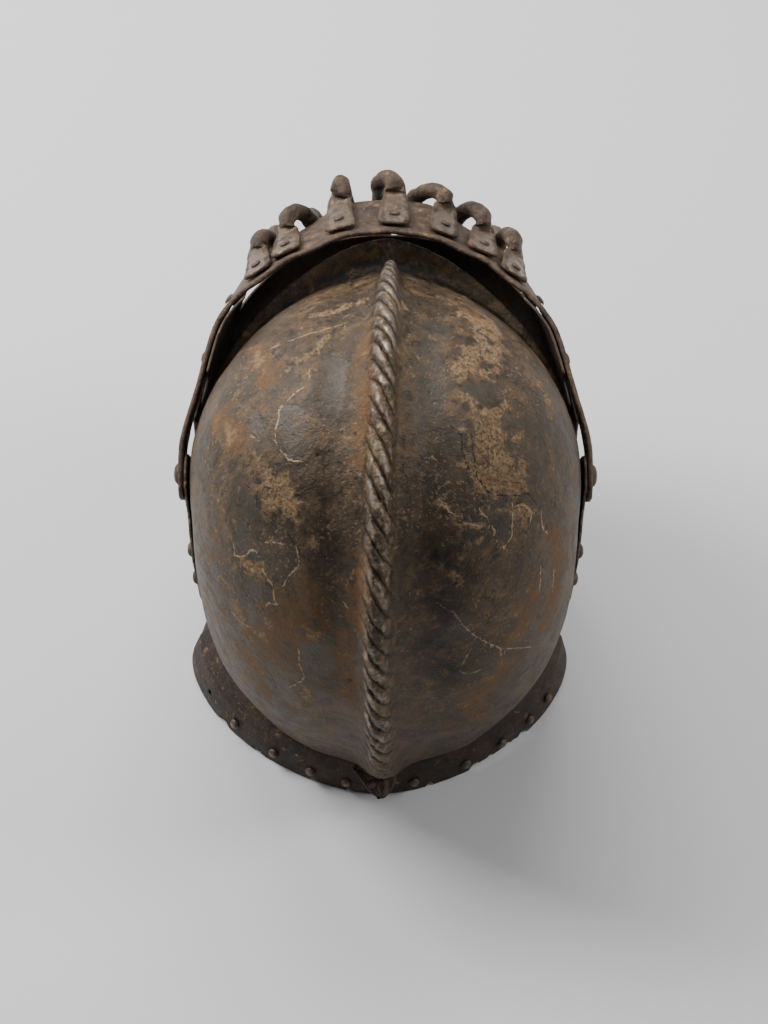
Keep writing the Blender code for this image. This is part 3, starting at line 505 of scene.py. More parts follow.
@dataclass
class Bowl:
    """The bowl with its roped comb and turned-up brow edge."""

    width: float = 0.214
    length: float = 0.231
    height: float = 0.250
    plate: float = 0.0022
    comb_width: float = 0.014
    comb_height: float = 0.0088
    comb_bow: float = 0.0042
    keel: float = 0.0020
    flute: float = 0.0016
    channel: float = 0.0012
    rim_rise: float = 0.0006
    rim_peak: float = 0.0060
    rim_peak_half: float = 0.058
    lap_draft: float = 0.008
    strand_pitch: tuple[tuple[float, float], ...] = (
        (0.0, 0.0095), (0.06, 0.0105), (0.14, 0.0125), (0.26, 0.0145), (0.50, 0.0135))
    strand_slant: float = 0.95
    strand_depth: float = 0.0017
    dent_depth: float = 0.00065
    small_dents: float = 0.24
    corrosion_depth: float = 0.0011
    scab_depth: float = 0.0020
    pit_depth: float = 0.0011
    crust_depth: float = 0.00018
    # How strong the painted highlight along the brow rim is, given as rubbed bare metal.
    rim_highlight: float = 0.42
    edge_bite: float = 0.0002
    rows: int = 312
    coarse: int = 4

    SECTIONS = (
        # crest_y, crest_z, wide_x, wide_y, wide_z, arch, edge, comb
        (-0.489, 0.248, 0.981, -0.069, -0.008, 1.74, 0.00, 0.05),
        (-0.437, 0.220, 0.986, -0.035, -0.004, 1.80, 0.015, 0.25),
        (-0.359, 0.272, 0.991, -0.017, 0.000, 1.90, 0.03, 0.90),
        (-0.203, 0.364, 1.000, -0.004, 0.000, 2.00, 0.045, 1.00),
        (0.000, 0.412, 1.000, 0.009, 0.000, 2.05, 0.06, 1.00),
        (0.186, 0.380, 1.000, 0.026, -0.008, 2.10, 0.08, 1.00),
        (0.346, 0.276, 1.000, 0.039, -0.032, 2.10, 0.11, 1.00),
        (0.459, 0.108, 0.997, 0.052, -0.080, 2.10, 0.15, 1.00),
        (0.506, -0.064, 1.000, 0.052, -0.144, 2.10, 0.25, 1.00),
        (0.511, -0.256, 1.000, 0.043, -0.264, 2.10, 0.47, 1.00),
        (0.485, -0.424, 0.982, 0.026, -0.412, 2.05, 0.77, 1.00),
        (0.433, -0.588, 0.908, 0.009, -0.528, 2.00, 1.00, 0.80),
    )
    BROW_CORNER = (-0.078, -0.040)
    NECK_CORNER = (-0.035, -0.524)
    PEAK_ROWS = 0.85
    LINE_REACH = 2.6 * MM

    @property
    def half(self) -> float:
        """Half the bowl's width."""
        return self.width / 2

    @property
    def last(self) -> int:
        """The number of the last section, at the nape."""
        return len(self.SECTIONS) - 1

    def crest_way(self, row: float) -> Vector:
        """Returns the direction of the middle line, from the nape toward the brow."""
        ahead = smooth_row(self.SECTIONS, max(row - 0.05, 0.0))
        behind = smooth_row(self.SECTIONS, min(row + 0.05, self.last))
        y, z = behind[0] - ahead[0], behind[1] - ahead[1]
        return Vector((0.0, y * self.length, z * self.height)).normalized()

    def line(self, row: float, columns: np.ndarray, strand: float | None = None) -> np.ndarray:
        """Returns a row of points of the outer face.

        Args:
            row: from 0 at the brow edge to the last section at the nape.
            columns: from -2 to 2, below 1 in size the share of the way down to the widest point.
            strand: how many strands of the rope lie before this row, or None for a plain bowl.

        Returns:
            An array of points, one for each column.
        """
        crest_y, crest_z, _, wide_y, wide_z, exponent, edge, comb = smooth_row(self.SECTIONS, row)
        reach = np.abs(columns)
        angle = np.minimum(reach, 1.0) * math.pi / 2
        crest_share = np.abs(np.cos(angle)) ** (2 / exponent)
        lap = np.clip(reach - 1.0, 0.0, 1.0)
        x = self.sideways(row, columns)
        y = (wide_y + (crest_y - wide_y) * crest_share) * self.length
        z = (wide_z + (crest_z - wide_z) * crest_share) * self.height
        foot_y = lerp(self.BROW_CORNER[0], self.NECK_CORNER[0], edge)
        foot_z = lerp(self.BROW_CORNER[1], self.NECK_CORNER[1], edge)
        y += lap * (foot_y - wide_y) * self.length
        z += lap * (foot_z - wide_z) * self.height
        way = self.crest_way(row)
        rise = comb * self.relief(x, strand, row / self.last)
        bow = self.comb_bow * comb * math.sin(1.35 * math.pi * (row / self.last - 0.32))
        x = x + bow * np.exp(-(x / (2.5 * self.comb_width)) ** 2)
        peak = self.rim_peak * math.exp(-(row / self.PEAK_ROWS) ** 2)
        peak = peak * np.clip(1.0 - np.abs(x) / self.rim_peak_half, 0.0, 1.0)
        return np.stack([PIVOT.x + x, PIVOT.y + y - way.z * rise, PIVOT.z + z + way.y * rise + peak], axis=-1)

    def sideways(self, row: float, columns: np.ndarray) -> np.ndarray:
        """Returns how far each column lies from the middle at a row."""
        section = smooth_row(self.SECTIONS, row)
        reach = np.abs(columns)
        share = np.abs(np.sin(np.minimum(reach, 1.0) * math.pi / 2)) ** (2 / section[5])
        lap = np.clip(reach - 1.0, 0.0, 1.0)
        return np.sign(columns) * share * section[2] * self.half * (1.0 - self.lap_draft * lap)

    def rope_half(self, share: float) -> float:
        """Returns half the rope's width at a share of the way from the brow to the nape."""
        start = min(max((share - 0.13) / 0.16, 0.0), 1.0)
        end = min(max((share - 0.86) / 0.14, 0.0), 1.0)
        worn = min(max((share - 0.45) / 0.35, 0.0), 1.0)
        return self.comb_width * 0.5 * (0.50 + 0.50 * start + 0.12 * worn + 0.50 * end * end * (3 - 2 * end))

    def turns(self, offset: np.ndarray, strand: float, share: float) -> np.ndarray:
        """Returns which strand lies at each sideways offset, with its share of the strand's width."""
        lean = np.clip(offset / self.rope_half(share), -1.3, 1.3)
        return strand + self.strand_slant * lean

    def twist_share(self, share: float) -> float:
        """Returns how far the strands still stand out, since they end before the tail."""
        return 1.0 - min(max((share - 0.88) / 0.10, 0.0), 1.0)

    def relief(self, offset: np.ndarray, strand: float | None, share: float) -> np.ndarray:
        """Returns how far the face rises near the middle line, at sideways offsets.

        The comb is a rope: round strands with sharp grooves between them, that run from the
        wearer's left at the front to the right at the back. A channel runs along each side.
        """
        across = np.abs(offset)
        half = self.rope_half(share)
        broad = self.comb_width * (1.0 + 0.5 * share)
        keel = self.keel * (1.0 + 0.8 * share) * np.exp(-(across / broad) ** 2)
        flute = self.flute + self.channel * math.sin(math.pi * min(share * 1.05, 1.0))
        flute = flute * np.exp(-((across - 1.6 * self.comb_width) / (0.8 * self.comb_width)) ** 2)
        under_tail = min(max((share - 0.960) / 0.022, 0.0), 1.0)
        ridge = self.comb_height * (1.0 - 0.30 * under_tail) * np.exp(-(across / (half * 0.96)) ** 3.2)
        if strand is None:
            return ridge + keel - flute
        cycle = self.turns(offset, strand, share) % 1.0
        bump = np.sqrt(np.clip(1.0 - (2.0 * cycle - 1.0) ** 2, 0.0, 1.0)) - 0.72
        hold = np.exp(-(across / (half * 1.10)) ** 6) * self.twist_share(share)
        return ridge + keel - flute + self.strand_depth * bump * hold

    def columns(self) -> np.ndarray:
        """Returns the columns of the grid, close together over the comb."""
        offsets = spread([(0.0, 20), (0.0100, 6), (0.0145, 14), (0.036, 1), (0.0372, 0)])
        half = [2 / math.pi * math.asin(offset / self.half) for offset in offsets]
        half += spread([(half[-1], 70), (1.0, 13), (2.0, 0)])[1:]
        half = half[:1 + self.coarse * 2 * ((len(half) - 1) // (self.coarse * 2))]
        half[-1] = 2.0
        return np.array([-column for column in reversed(half[1:])] + half)

    def grid(self) -> tuple[np.ndarray, np.ndarray, np.ndarray]:
        """Returns the outer face's points with the rope, its strands' turns, and where they show."""
        columns = self.columns()
        steps = np.linspace(0.0, self.last, self.rows + 1)
        middle = np.array([0.0])
        crest = np.array([self.line(row, middle)[0] for row in steps])
        lengths = np.concatenate([[0.0], np.cumsum(np.linalg.norm(np.diff(crest, axis=0), axis=1))])
        even = np.interp(np.linspace(0.0, lengths[-1], self.rows + 1), lengths, steps)
        strand = 0.0
        grid, turned, shown = [], [], []
        step = lengths[-1] / self.rows
        for number, row in enumerate(even):
            travelled = number * step
            strand += step / share_at(self.strand_pitch, travelled)
            uneven = 0.22 * noise.noise(Vector((travelled / 0.021, 1.7, 0.0)))
            share = float(row) / self.last
            offset = self.sideways(float(row), columns)
            grid.append(self.line(float(row), columns, strand + uneven))
            turned.append(self.turns(offset, strand + uneven, share))
            height = smooth_row(self.SECTIONS, float(row))[7]
            hold = np.exp(-(np.abs(offset) / (self.rope_half(share) * 1.02)) ** 8)
            shown.append(hold * self.twist_share(share) * min(height, 1.0))
        return np.array(grid), np.array(turned), np.array(shown)

    def place_of(self, row: float, column: float) -> np.ndarray:
        """Returns one point of the plain outer face."""
        return self.line(row, np.array([column]))[0]

    def stain_fields(self, points: np.ndarray, normals: np.ndarray) -> dict[str, np.ndarray]:
        """Returns the marks' values at each point.

        A stain's value is 1 on its path and 0.5 at its edge. A line's is its signed distance in
        millimetres, with a second value that fades it out at its ends.
        """
        shape = points.shape[:2]
        fields = {kind.value: np.zeros(shape) for kind in Stain}
        near = {Stain.LINE: np.zeros(shape), Stain.CRACK: np.zeros(shape)}
        for mark in MARKS:
            path = [self.place_of(*lerp_pair(start, end, share))
                    for start, end in zip(mark.path, mark.path[1:]) for share in (0.0, 0.34, 0.67)]
            path.append(self.place_of(*mark.path[-1]))
            if len(path) == 1:
                path.append(path[0] + np.array((0.0, 0.0, 1e-5)))
            distance, signed = distance_to(path, points, normals)
            if mark.kind in near:
                closer = np.clip(1.0 - distance / self.LINE_REACH, 0.0, 1.0)
                better = closer > near[mark.kind]
                near[mark.kind] = np.where(better, closer, near[mark.kind])
                fields[mark.kind.value] = np.where(better, signed / MM, fields[mark.kind.value])
            else:
                value = np.clip(1.0 - distance / (2.0 * mark.radius * MM), 0.0, 1.0)
                fields[mark.kind.value] = np.maximum(fields[mark.kind.value], value)
        fields.update({f"{kind.value}_near": values for kind, values in near.items()})
        return fields

    def build(self) -> None:
        """Makes the bowl with its rope, dents, pits and stains."""
        points, turned, shown = self.grid()
        normals = normals_of(points)
        fields = self.stain_fields(points, normals)
        free = np.clip((2.0 - np.abs(self.columns())) * 1.2 - 0.75, 0.0, 1.0)[None, :]
        along = np.linspace(0.0, 1.0, len(points))[:, None]
        comb = np.exp(-((points[..., 0] - 0.002) / 0.0085) ** 4) * (0.15 + 0.85 * along)
        dents = rough(points, 30 * MM, 11.0, 2) * self.dent_depth
        dents += rough(points, 9 * MM, 4.0, 3) * self.dent_depth * self.small_dents
        corroded = rough(points, 4.2 * MM, 23.0, 3) * comb * self.corrosion_depth
        scabs = np.clip(rough(points, 6.5 * MM, 31.0, 2) - 0.25, 0.0, 1.0)
        corroded -= scabs * comb * self.scab_depth
        pits = -np.clip(fields["pit"] * 2.0 - 0.6, 0.0, 1.0) * self.pit_depth
        crust = np.clip((fields["crust"] - 0.42) * 6, 0.0, 1.0) * rough(points, 3.5 * MM, 8.0, 2)
        crust *= self.crust_depth
        inward = np.cumsum(np.linalg.norm(np.diff(points, axis=0), axis=-1), axis=0) / MM
        inward = np.concatenate([np.zeros((1, points.shape[1])), inward])
        rim = self.rim_rise * np.exp(-((inward - 3.5) / 4.0) ** 2)
        rim -= self.rim_rise * np.exp(-((inward - 15.0) / 7.0) ** 2)
        points += normals * ((dents + corroded + crust + rim) * free + pits)[..., None]
        wear = np.clip(convexity(points, normals, 3, 0.45 * MM), 0.0, 1.0) * np.clip(comb * 3, 0.12, 0.6)
        wear *= 1.0 - 0.75 * along
        # Painted highlight: a pale band of bare metal along the first few millimetres of the brow rim.
        rim_highlight_band = np.exp(-((inward - 2.0) / 4.0) ** 2) * self.rim_highlight * free
        grime = np.clip(-convexity(points, normals, 2, 0.50 * MM), 0.0, 1.0) * np.clip(comb * 2, 0.25, 0.7)
        # Painted shade: a dark band in the valley behind the brow rim, under the visor band, weaker towards the
        # sides.
        valley = np.clip((inward - 8.0) / 6.0, 0.0, 1.0) * np.clip((38.0 - inward) / 22.0, 0.0, 1.0)
        fields["brow_valley_shade"] = valley * np.clip(1.25 - 0.3 * np.abs(self.columns())[None, :], 0.0, 1.0)
        fields["grime"] = np.clip(fields["grime"] + grime, 0.0, 1.0)
        # The wear field holds real rubbed wear and the painted brow-rim highlight.
        fields["wear"] = np.maximum(wear, rim_highlight_band)
        fields["comb"] = comb
        fields["turns"] = turned
        fields["twist"] = shown
        shell = Shell(points, self.plate, self.coarse, self.edge_bite, fields)
        piece = shell.build("bowl", Irons.BOWL.value)
        place(piece, Body.HELMET, "skull", "skull")


def lerp_pair(start: Row, end: Row, share: float) -> tuple[float, float]:
    """Returns the pair of values at a share between two pairs."""
    return lerp(start[0], end[0], share), lerp(start[1], end[1], share)


def distance_to(path: Sequence[np.ndarray], points: np.ndarray,
                normals: np.ndarray) -> tuple[np.ndarray, np.ndarray]:
    """Returns how far each point of a grid is from a path, and the same with a side's sign."""
    best = np.full(points.shape[:2], 1.0)
    signed = np.full(points.shape[:2], 1.0)
    for start, end in zip(path, path[1:]):
        along = end - start
        length = float(along @ along)
        share = np.clip(((points - start) @ along) / max(length, 1e-14), 0.0, 1.0)
        offset = points - (start + share[..., None] * along)
        distance = np.linalg.norm(offset, axis=-1)
        side = np.sign(np.sum(np.cross(along, offset) * normals, axis=-1))
        closer = distance < best
        best = np.where(closer, distance, best)
        signed = np.where(closer, distance * side, signed)
    return best, signed


# The bevor


@dataclass
class Bevor:
    """The chin plate, whose ears lie between the bowl and the visor's arms."""

    bowl: Bowl
    plate: float = 0.0018
    standoff: float = 0.0012
    lap: float = 0.014
    reach: float = 0.180
    neck_reach: float = 0.118
    drop: float = 0.033
    ear_height: float = 0.0145
    ear_spread: float = 0.016
    exponent: float = 2.3

    @property
    def foot(self) -> float:
        """The height of the lower edge, from the pivot point."""
        return self.bowl.NECK_CORNER[1] * self.bowl.height

    def bowl_half(self, height: float) -> float:
        """Returns the bowl's half width at a height from the pivot point."""
        sides = [(-row[4] * self.bowl.height, row[2] * self.bowl.half) for row in self.bowl.SECTIONS[4:]]
        return share_at(sides, max(-height, sides[0][0]))

    def top(self, y: float) -> float:
        """Returns the height of the upper edge at a distance behind the pivots."""
        fall = self.drop * (1.0 - math.exp(-(min(y, 0.0) / (1.4 * self.ear_spread)) ** 2))
        return self.ear_height * math.exp(-(y / self.ear_spread) ** 2) - fall

    def front(self, height: float) -> float:
        """Returns the y of the face guard's middle line at a height from the pivot point."""
        fall = min(max((height - self.foot) / (-self.drop - self.foot), 0.0), 1.0)
        return -lerp(self.neck_reach, self.reach, math.sin(fall * math.pi / 2))

    def guard(self, around: float, height: float, outset: float) -> Vector:
        """Returns a point round the front of the helmet, at a distance out from the inner face."""
        side_share, front_share = arch(around * math.pi / 2, self.exponent)
        half = self.bowl_half(height) + self.standoff + outset
        y = lerp(self.lap, self.front(height) - outset, front_share)
        return PIVOT + Vector((math.copysign(side_share * half, around), y, height))

    def point(self, height_share: float, around: float) -> Vector:
        """Returns a point of the outer face, from the upper to the lower edge and round the chin."""
        front_share = arch(around * math.pi / 2, self.exponent)[1]
        top = self.top(lerp(self.lap, -self.reach, front_share))
        return self.guard(around, lerp(top, self.foot, height_share), self.plate)

    def build(self) -> None:
        """Makes the chin plate."""
        half = spread([(0.0, 44), (0.8, 14), (0.935, 20), (1.0, 0)])
        around = [-share for share in reversed(half[1:])] + half
        heights = spread([(0.0, 60), (1.0, 0)])
        points = np.array([[self.point(height, share) for share in around] for height in heights])
        fields = hammer(points, 0.00022)
        piece = Shell(points, self.plate, ragged=0.0003, fields=fields).build("chin_plate", Irons.BOWL.value)
        place(piece, Body.HELMET, "skull", "bevor")


def hammer(points: np.ndarray, depth: float) -> dict[str, np.ndarray]:
    """Dents a grid inward, so that it clears its neighbours, and returns its wear and grime."""
    normals = normals_of(points)
    plain = convexity(points, normals, 2, 0.25 * MM)
    heights = rough(points, 16 * MM, 5.0, 3) * 0.7 + rough(points, 4.5 * MM, 15.0, 3) * 0.5
    points += normals * (np.minimum(heights - 0.35, 0.0) * depth)[..., None]
    bend = convexity(points, normals, 2, 0.25 * MM) - plain
    return {"wear": np.clip(bend, 0.0, 1.0), "grime": np.clip(-bend, 0.0, 1.0)}


# The visor


@dataclass
class Visor:
    """The barred face guard: brow band with its arms, lower strap, cheeks and bars."""

    bevor: Bevor
    band_plate: float = 0.0028
    band_run: float = 0.1345
    band_depth: float = 0.050
    arm_width: float = 0.029
    arm_slope_deg: float = 28.0
    arm_tilt_deg: float = 62.0
    strap_plate: float = 0.0018
    strap_depth: float = 0.036
    strap_drop: float = 0.027
    strap_end: float = 0.84
    strap_clearance: float = 0.0006
    cheek_plate: float = 0.0016
    cheek_clearance: float = 0.0008
    gap: float = 0.0003
    rod: float = 0.0095
    bar_bulge: float = 0.007
    bar_crest: float = 0.0075
    paddle_width: float = 0.0150
    paddle_plate: float = 0.0034
    seat_clearance: float = 0.0005

    STATIONS = (
        # x, run, broad, tilt_deg, flare, skew
        (0.000, 1.000, 1.00, 28.0, 0.00, 0.000),
        (0.215, 0.977, 1.00, 28.0, 0.01, 0.000),
        (0.385, 0.914, 1.00, 33.0, 0.02, 0.000),
        (0.490, 0.876, 0.92, 34.0, 0.02, 0.002),
        (0.605, 0.800, 0.80, 33.0, 0.03, 0.007),
        (0.705, 0.740, 0.65, 42.0, 0.03, 0.009),
        (0.785, 0.667, 0.48, 50.0, 0.03, 0.008),
        (0.838, 0.590, 0.35, 57.0, 0.03, 0.005),
        (0.881, 0.476, 0.20, 62.0, 0.04, 0.002),
        (0.919, 0.352, 0.10, 62.0, 0.05, 0.000),
        (0.953, 0.257, 0.04, 62.0, 0.04, 0.000),
        (0.980, 0.181, 0.00, 62.0, 0.02, 0.000),
        (0.997, 0.105, 0.00, 62.0, 0.01, 0.000),
        (1.000, 0.038, 0.00, 62.0, 0.00, 0.000),
        (1.000, 0.000, 0.00, 62.0, 0.00, 0.000),
    )
    BARS = (
        # band_x, arch_x, strap_x, crest
        (0.658, 0.580, 0.490, 1.05),
        (0.514, 0.389, 0.345, 1.50),
        (0.239, 0.224, 0.190, 1.30),
        (-0.039, 0.049, 0.035, 1.25),
        (-0.293, -0.141, -0.120, 1.20),
        (-0.495, -0.350, -0.290, 1.60),
        (-0.652, -0.570, -0.475, 1.45),
    )
    CHEEK_FROM = 5.0
    CHEEK_TO = 8.5
    END_ANGLES = (15.0, 30.0, 42.0, 54.0, 65.0, 75.0)

    @property
    def arm_outer(self) -> float:
        """How far an arm's outer face is from the middle."""
        return self.bevor.bowl.half + self.bevor.standoff + self.bevor.plate + self.gap + self.band_plate

    @property
    def cheek_foot(self) -> float:
        """How far down behind the strap a cheek reaches, as a share of half the strap's depth."""
        return (self.bevor.drop - 2 * self.seat_clearance - self.strap_drop) / (self.strap_depth / 2)

    def band(self, station: float, across: float) -> Vector:
        """Returns a point of the band's outer face.

        Args:
            station: from 0 at the middle to the last row at the pivot, negative on the right.
            across: from -1 at the rear edge to 1 at the front edge.

        Returns:
            The point in metres.
        """
        side = math.copysign(1.0, station)
        x_share, run, broad, tilt, flare, skew = smooth_row(self.STATIONS, abs(station))
        slope = math.radians(self.arm_slope_deg)
        end_tilt = math.radians(self.arm_tilt_deg)
        lean = math.radians(tilt)
        rear_y = self.arm_width / 2 * math.cos(end_tilt) - run * self.band_run * math.cos(slope)
        rear_z = self.arm_width / 2 * math.sin(end_tilt) + run * self.band_run * math.sin(slope)
        reach = lerp(self.arm_width, self.band_depth, broad) * (1 + across) / 2
        x = x_share * self.arm_outer + flare * self.band_depth * (1 + across) / 2
        return PIVOT + Vector((side * x + skew * self.arm_outer, rear_y - reach * math.cos(lean),
                               rear_z - reach * math.sin(lean)))

    def arm_end(self, side: float, angle: float, across: float) -> Vector:
        """Returns a point of an arm's round end, at an angle past the pivot."""
        half = self.arm_width / 2
        slope = math.radians(self.arm_slope_deg)
        tilt = math.radians(self.arm_tilt_deg)
        turn = math.radians(angle)
        along = Vector((0.0, math.cos(slope), -math.sin(slope))) * half * math.sin(turn)
        over = Vector((0.0, -math.cos(tilt), -math.sin(tilt))) * half * across * math.cos(turn)
        return PIVOT + Vector((side * self.arm_outer, 0.0, 0.0)) + along + over

    def strap(self, around: float, across: float) -> Vector:
        """Returns a point of the lower strap's outer face, across from its upper to its lower edge."""
        height = -self.strap_drop - across * self.strap_depth / 2
        outset = self.bevor.plate + self.strap_clearance + self.strap_plate
        return self.bevor.guard(around, height, outset)

    def station_at(self, x_share: float) -> float:
        """Returns the band station whose middle line lies at a share of the bowl's half width."""
        side = math.copysign(1.0, x_share)
        reach = abs(x_share) * self.bevor.bowl.half
        return side * solve(lambda at: side * self.band(side * at, 0.0).x, reach, 0.0, 7.0)

    def strap_at(self, x_share: float) -> float:
        """Returns where the strap lies at a share of the bowl's half width."""
        reach = abs(x_share) * self.bevor.bowl.half
        return math.copysign(solve(lambda at: self.strap(at, 0.0).x, reach, 0.0, self.strap_end), x_share)

    def strap_under(self, station: float) -> float:
        """Returns where the strap lies below the band's front edge at a station."""
        y = self.band(station, 1.0).y
        return math.copysign(solve(lambda at: self.strap(at, 0.0).y, y, 0.0, self.strap_end), station)

    def build_band(self) -> None:
        """Makes the brow band and its two arms."""
        last = len(self.STATIONS) - 1
        stations = [step / 9 for step in range(-9 * last, 9 * last + 1)]
        across = spread([(-1.0, 22), (1.0, 0)])
        rows = [[self.band(station, share) for share in across] for station in stations]
        left = [[self.arm_end(-1.0, angle, share) for share in across] for angle in reversed(self.END_ANGLES)]
        right = [[self.arm_end(1.0, angle, share) for share in across] for angle in self.END_ANGLES]
        points = np.array(left + rows + right)
        fields = hammer(points, 0.0002)
        piece = Shell(points, self.band_plate, ragged=0.0007, fields=fields).build("brow_band", Irons.VISOR.value)
        place(piece, Body.VISOR, "visor", "visor_band")

    def build_strap(self) -> None:
        """Makes the lower strap."""
        around = [self.strap_end * step / 70 for step in range(-70, 71)]
        across = spread([(-1.0, 20), (1.0, 0)])
        points = np.array([[self.strap(share, level) for share in around] for level in across])
        fields = hammer(points, 0.0003)
        shell = Shell(points, self.strap_plate, ragged=0.0004, fields=fields)
        piece = shell.build("lower_strap", Irons.VISOR.value)
        place(piece, Body.VISOR, "visor", "visor_lower_strap")

    def cheek(self, side: float, station: float, level: float) -> Vector:
        """Returns a point of a cheek plate, behind the band below level 1 and the strap above 2."""
        station = side * station
        if level <= 1.0:
            across = lerp(-1.0, 0.95, level)
            seat = self.band_plate + self.cheek_clearance
            return self.band(station, across) - outward(self.band, station, across) * seat
        if level < 2.0:
            return self.cheek(side, abs(station), 1.0).lerp(self.cheek(side, abs(station), 2.0), level - 1.0)
        around = self.strap_under(station)
        across = lerp(-0.95, self.cheek_foot, level - 2.0)
        seat = self.strap_plate + self.cheek_clearance
        return self.strap(around, across) - outward(self.strap, around, across) * seat

    def build_cheeks(self) -> None:
        """Makes the two cheek plates."""
        levels = spread([(0.0, 14), (1.0, 8), (2.0, 8), (3.0, 0)])
        stations = spread([(self.CHEEK_FROM, 28), (self.CHEEK_TO, 0)])
        for side, hand in ((1.0, "left"), (-1.0, "right")):
            points = np.array([[self.cheek(side, station, level) for level in levels] for station in stations])
            fields = {key: values * 0.4 for key, values in hammer(points, 0.0002).items()}
            piece = Shell(points, self.cheek_plate, fields=fields).build(f"cheek_{hand}", Irons.VISOR.value)
            place(piece, Body.VISOR, "visor", f"visor_cheek_{hand}")

    def seats(self, band_x: float, strap_x: float) -> list[list[tuple[Vector, Vector]]]:
        """Returns a bar's seats on the band and the strap, as points with the normal below them."""
        lift = self.paddle_plate / 2 + self.seat_clearance
        found = []
        for surface, at, stops in ((self.band, self.station_at(band_x), (-0.80, -0.05, 0.80)),
                                   (self.strap, self.strap_at(strap_x), (-0.90, -0.05, 0.85))):
            seat = []
            for across in stops:
                normal = outward(surface, at, across)
                seat.append((surface(at, across) + normal * lift, normal))
            found.append(seat)
        return found

    def route(self, band_x: float, arch_x: float, strap_x: float, crest: float) -> list[Row]:
        """Returns a bar's middle line, with its width, thickness and facing at each point."""
        seat, footing = self.seats(band_x, strap_x)
        rear, front = seat[0][0], seat[-1][0]
        upper = seat[1][1]
        top, lower = footing[0]
        forward = (front - rear).normalized()
        lean = Vector(((arch_x - band_x) * self.bevor.bowl.half, 0.0, 0.0))
        down = Vector((0.0, 0.0, -1.0))
        rise = Vector((0.0, upper.y, upper.z)).normalized() * self.bar_crest * crest
        rod = self.rod
        wide = self.paddle_width
        flat = self.paddle_plate
        crest_point = front + forward * 0.9 * rod + rise + lean * 0.35
        over = front + forward * 2.1 * rod + rise * 0.35 + lean + down * 0.3 * rod
        neck = top + lower * 0.45 * rod - down * 1.1 * rod
        middle = (over + neck) / 2 + lower * self.bar_bulge
        knots = [
            (rear, wide * 1.22, flat, seat[0][1]),
            (seat[1][0], wide * 1.14, flat * 1.05, upper),
            (front + upper * 0.25 * flat, wide * 0.96, flat * 1.35, seat[-1][1]),
            (front + forward * 0.45 * rod + rise * 0.72, rod * 1.22, rod * 0.95, upper),
            (crest_point, rod, rod, upper),
            (crest_point.lerp(over, 0.55) + rise * 0.14, rod, rod, upper.lerp(lower, 0.3)),
            (over, rod, rod, upper.lerp(lower, 0.6)),
            (middle, rod, rod, lower),
            (neck, rod, rod * 0.9, lower),
            (top + lower * 0.1 * flat - down * 0.2 * rod, wide * 0.8, flat, lower),
        ]
        knots += [(point, wide * 0.9, flat, normal) for point, normal in footing]
        return [(*point, width, thick, *facing) for point, width, thick, facing in knots]

    def build_bars(self) -> None:
        """Makes the bars, each a forged rod between two flattened ends."""
        for number, (band_x, arch_x, strap_x, crest) in enumerate(self.BARS, 1):
            route = self.route(band_x, arch_x, strap_x, crest)
            piece = forge(f"guard_bar_{number}", route, 24, 13, number * 7.3)
            place(piece, Body.VISOR, "visor", f"bar_{number}")

    def build(self) -> None:
        """Makes the whole visor."""
        self.build_band()
        self.build_strap()
        self.build_cheeks()
        self.build_bars()


BAR_END = ((0.62, 0.40), (0.80, 0.70), (0.90, 0.86), (0.96, 0.95), (0.99, 0.99))
HAMMERED = 0.0008


def forge(name: str, route: Sequence[Row], sides: int, steps: int, seed: float) -> bpy.types.Object:
    """Lofts a bar along a route of point, width, thickness and facing.

    Args:
        name: the piece's name.
        route: the knots of the middle line.
        sides: how many points a section has.
        steps: how many sections lie between two knots.
        seed: moves the hammer marks, so that no two bars are alike.

    Returns:
        The bar, with rounded flat ends.
    """
    last = (len(route) - 1) * steps
    samples = [smooth_row(route, place_at / steps) for place_at in range(last + 1)]
    centres = [Vector(sample[:3]) for sample in samples]
    rings = []
    for at, sample in enumerate(samples):
        along = (centres[min(at + 1, last)] - centres[max(at - 1, 0)]).normalized()
        facing = Vector(sample[5:])
        thick = (facing - along * facing.dot(along)).normalized()
        wide = thick.cross(along)
        width, depth = sample[3], sample[4]
        power = 2 / (2.0 + 2.4 * max(0.0, 1.0 - depth / width))
        from_end = min(at, last - at)
        tuck, thin = BAR_END[from_end] if from_end < len(BAR_END) else (1.0, 1.0)
        rings.append([centres[at]
                      + wide * math.copysign(abs(math.cos(turn)) ** power, math.cos(turn)) * width / 2 * tuck
                      + thick * math.copysign(abs(math.sin(turn)) ** power, math.sin(turn)) * depth / 2 * thin
                      for turn in (2 * math.pi * (side + 0.5) / sides for side in range(sides))])
    points = np.array(rings)
    middle = np.array(centres)[:, None, :]
    out = points - middle
    out /= np.linalg.norm(out, axis=-1, keepdims=True)
    marks = rough(points, 9 * MM, seed, 2) * 0.9 + rough(points, 2.6 * MM, seed + 5, 3) * 0.3
    marks = np.minimum(marks - 0.25, 0.0)
    points += out * (marks * HAMMERED)[..., None]
    around = np.concatenate([points[:, -2:], points, points[:, :2]], axis=1)
    lift = np.sum((around[:, 2:-2] - (around[:, :-4] + around[:, 4:]) / 2) * out, axis=-1)
    wear = np.clip(lift / (1.1 * MM) - 0.45 + np.clip(marks + 0.25, 0, 1), 0.0, 1.0)
    index = np.arange(points.shape[0] * sides).reshape(-1, sides)
    index = np.concatenate([index, index[:, :1]], axis=1)
    faces = quads(index)
    cloud = np.concatenate([points.reshape(-1, 3), middle[0], middle[-1]])
    first, final = len(cloud) - 2, len(cloud) - 1
    for side in range(sides):
        faces.append((int(index[0, side + 1]), int(index[0, side]), first))
        faces.append((int(index[-1, side]), int(index[-1, side + 1]), final))
    zero = np.zeros(2)
    fields = {"wear": np.concatenate([wear.reshape(-1), zero]),
              "grime": np.concatenate([np.clip(-marks, 0, 1).reshape(-1), zero])}
    return make_mesh(name, cloud, faces, Irons.VISOR.value, fields)


# The collar


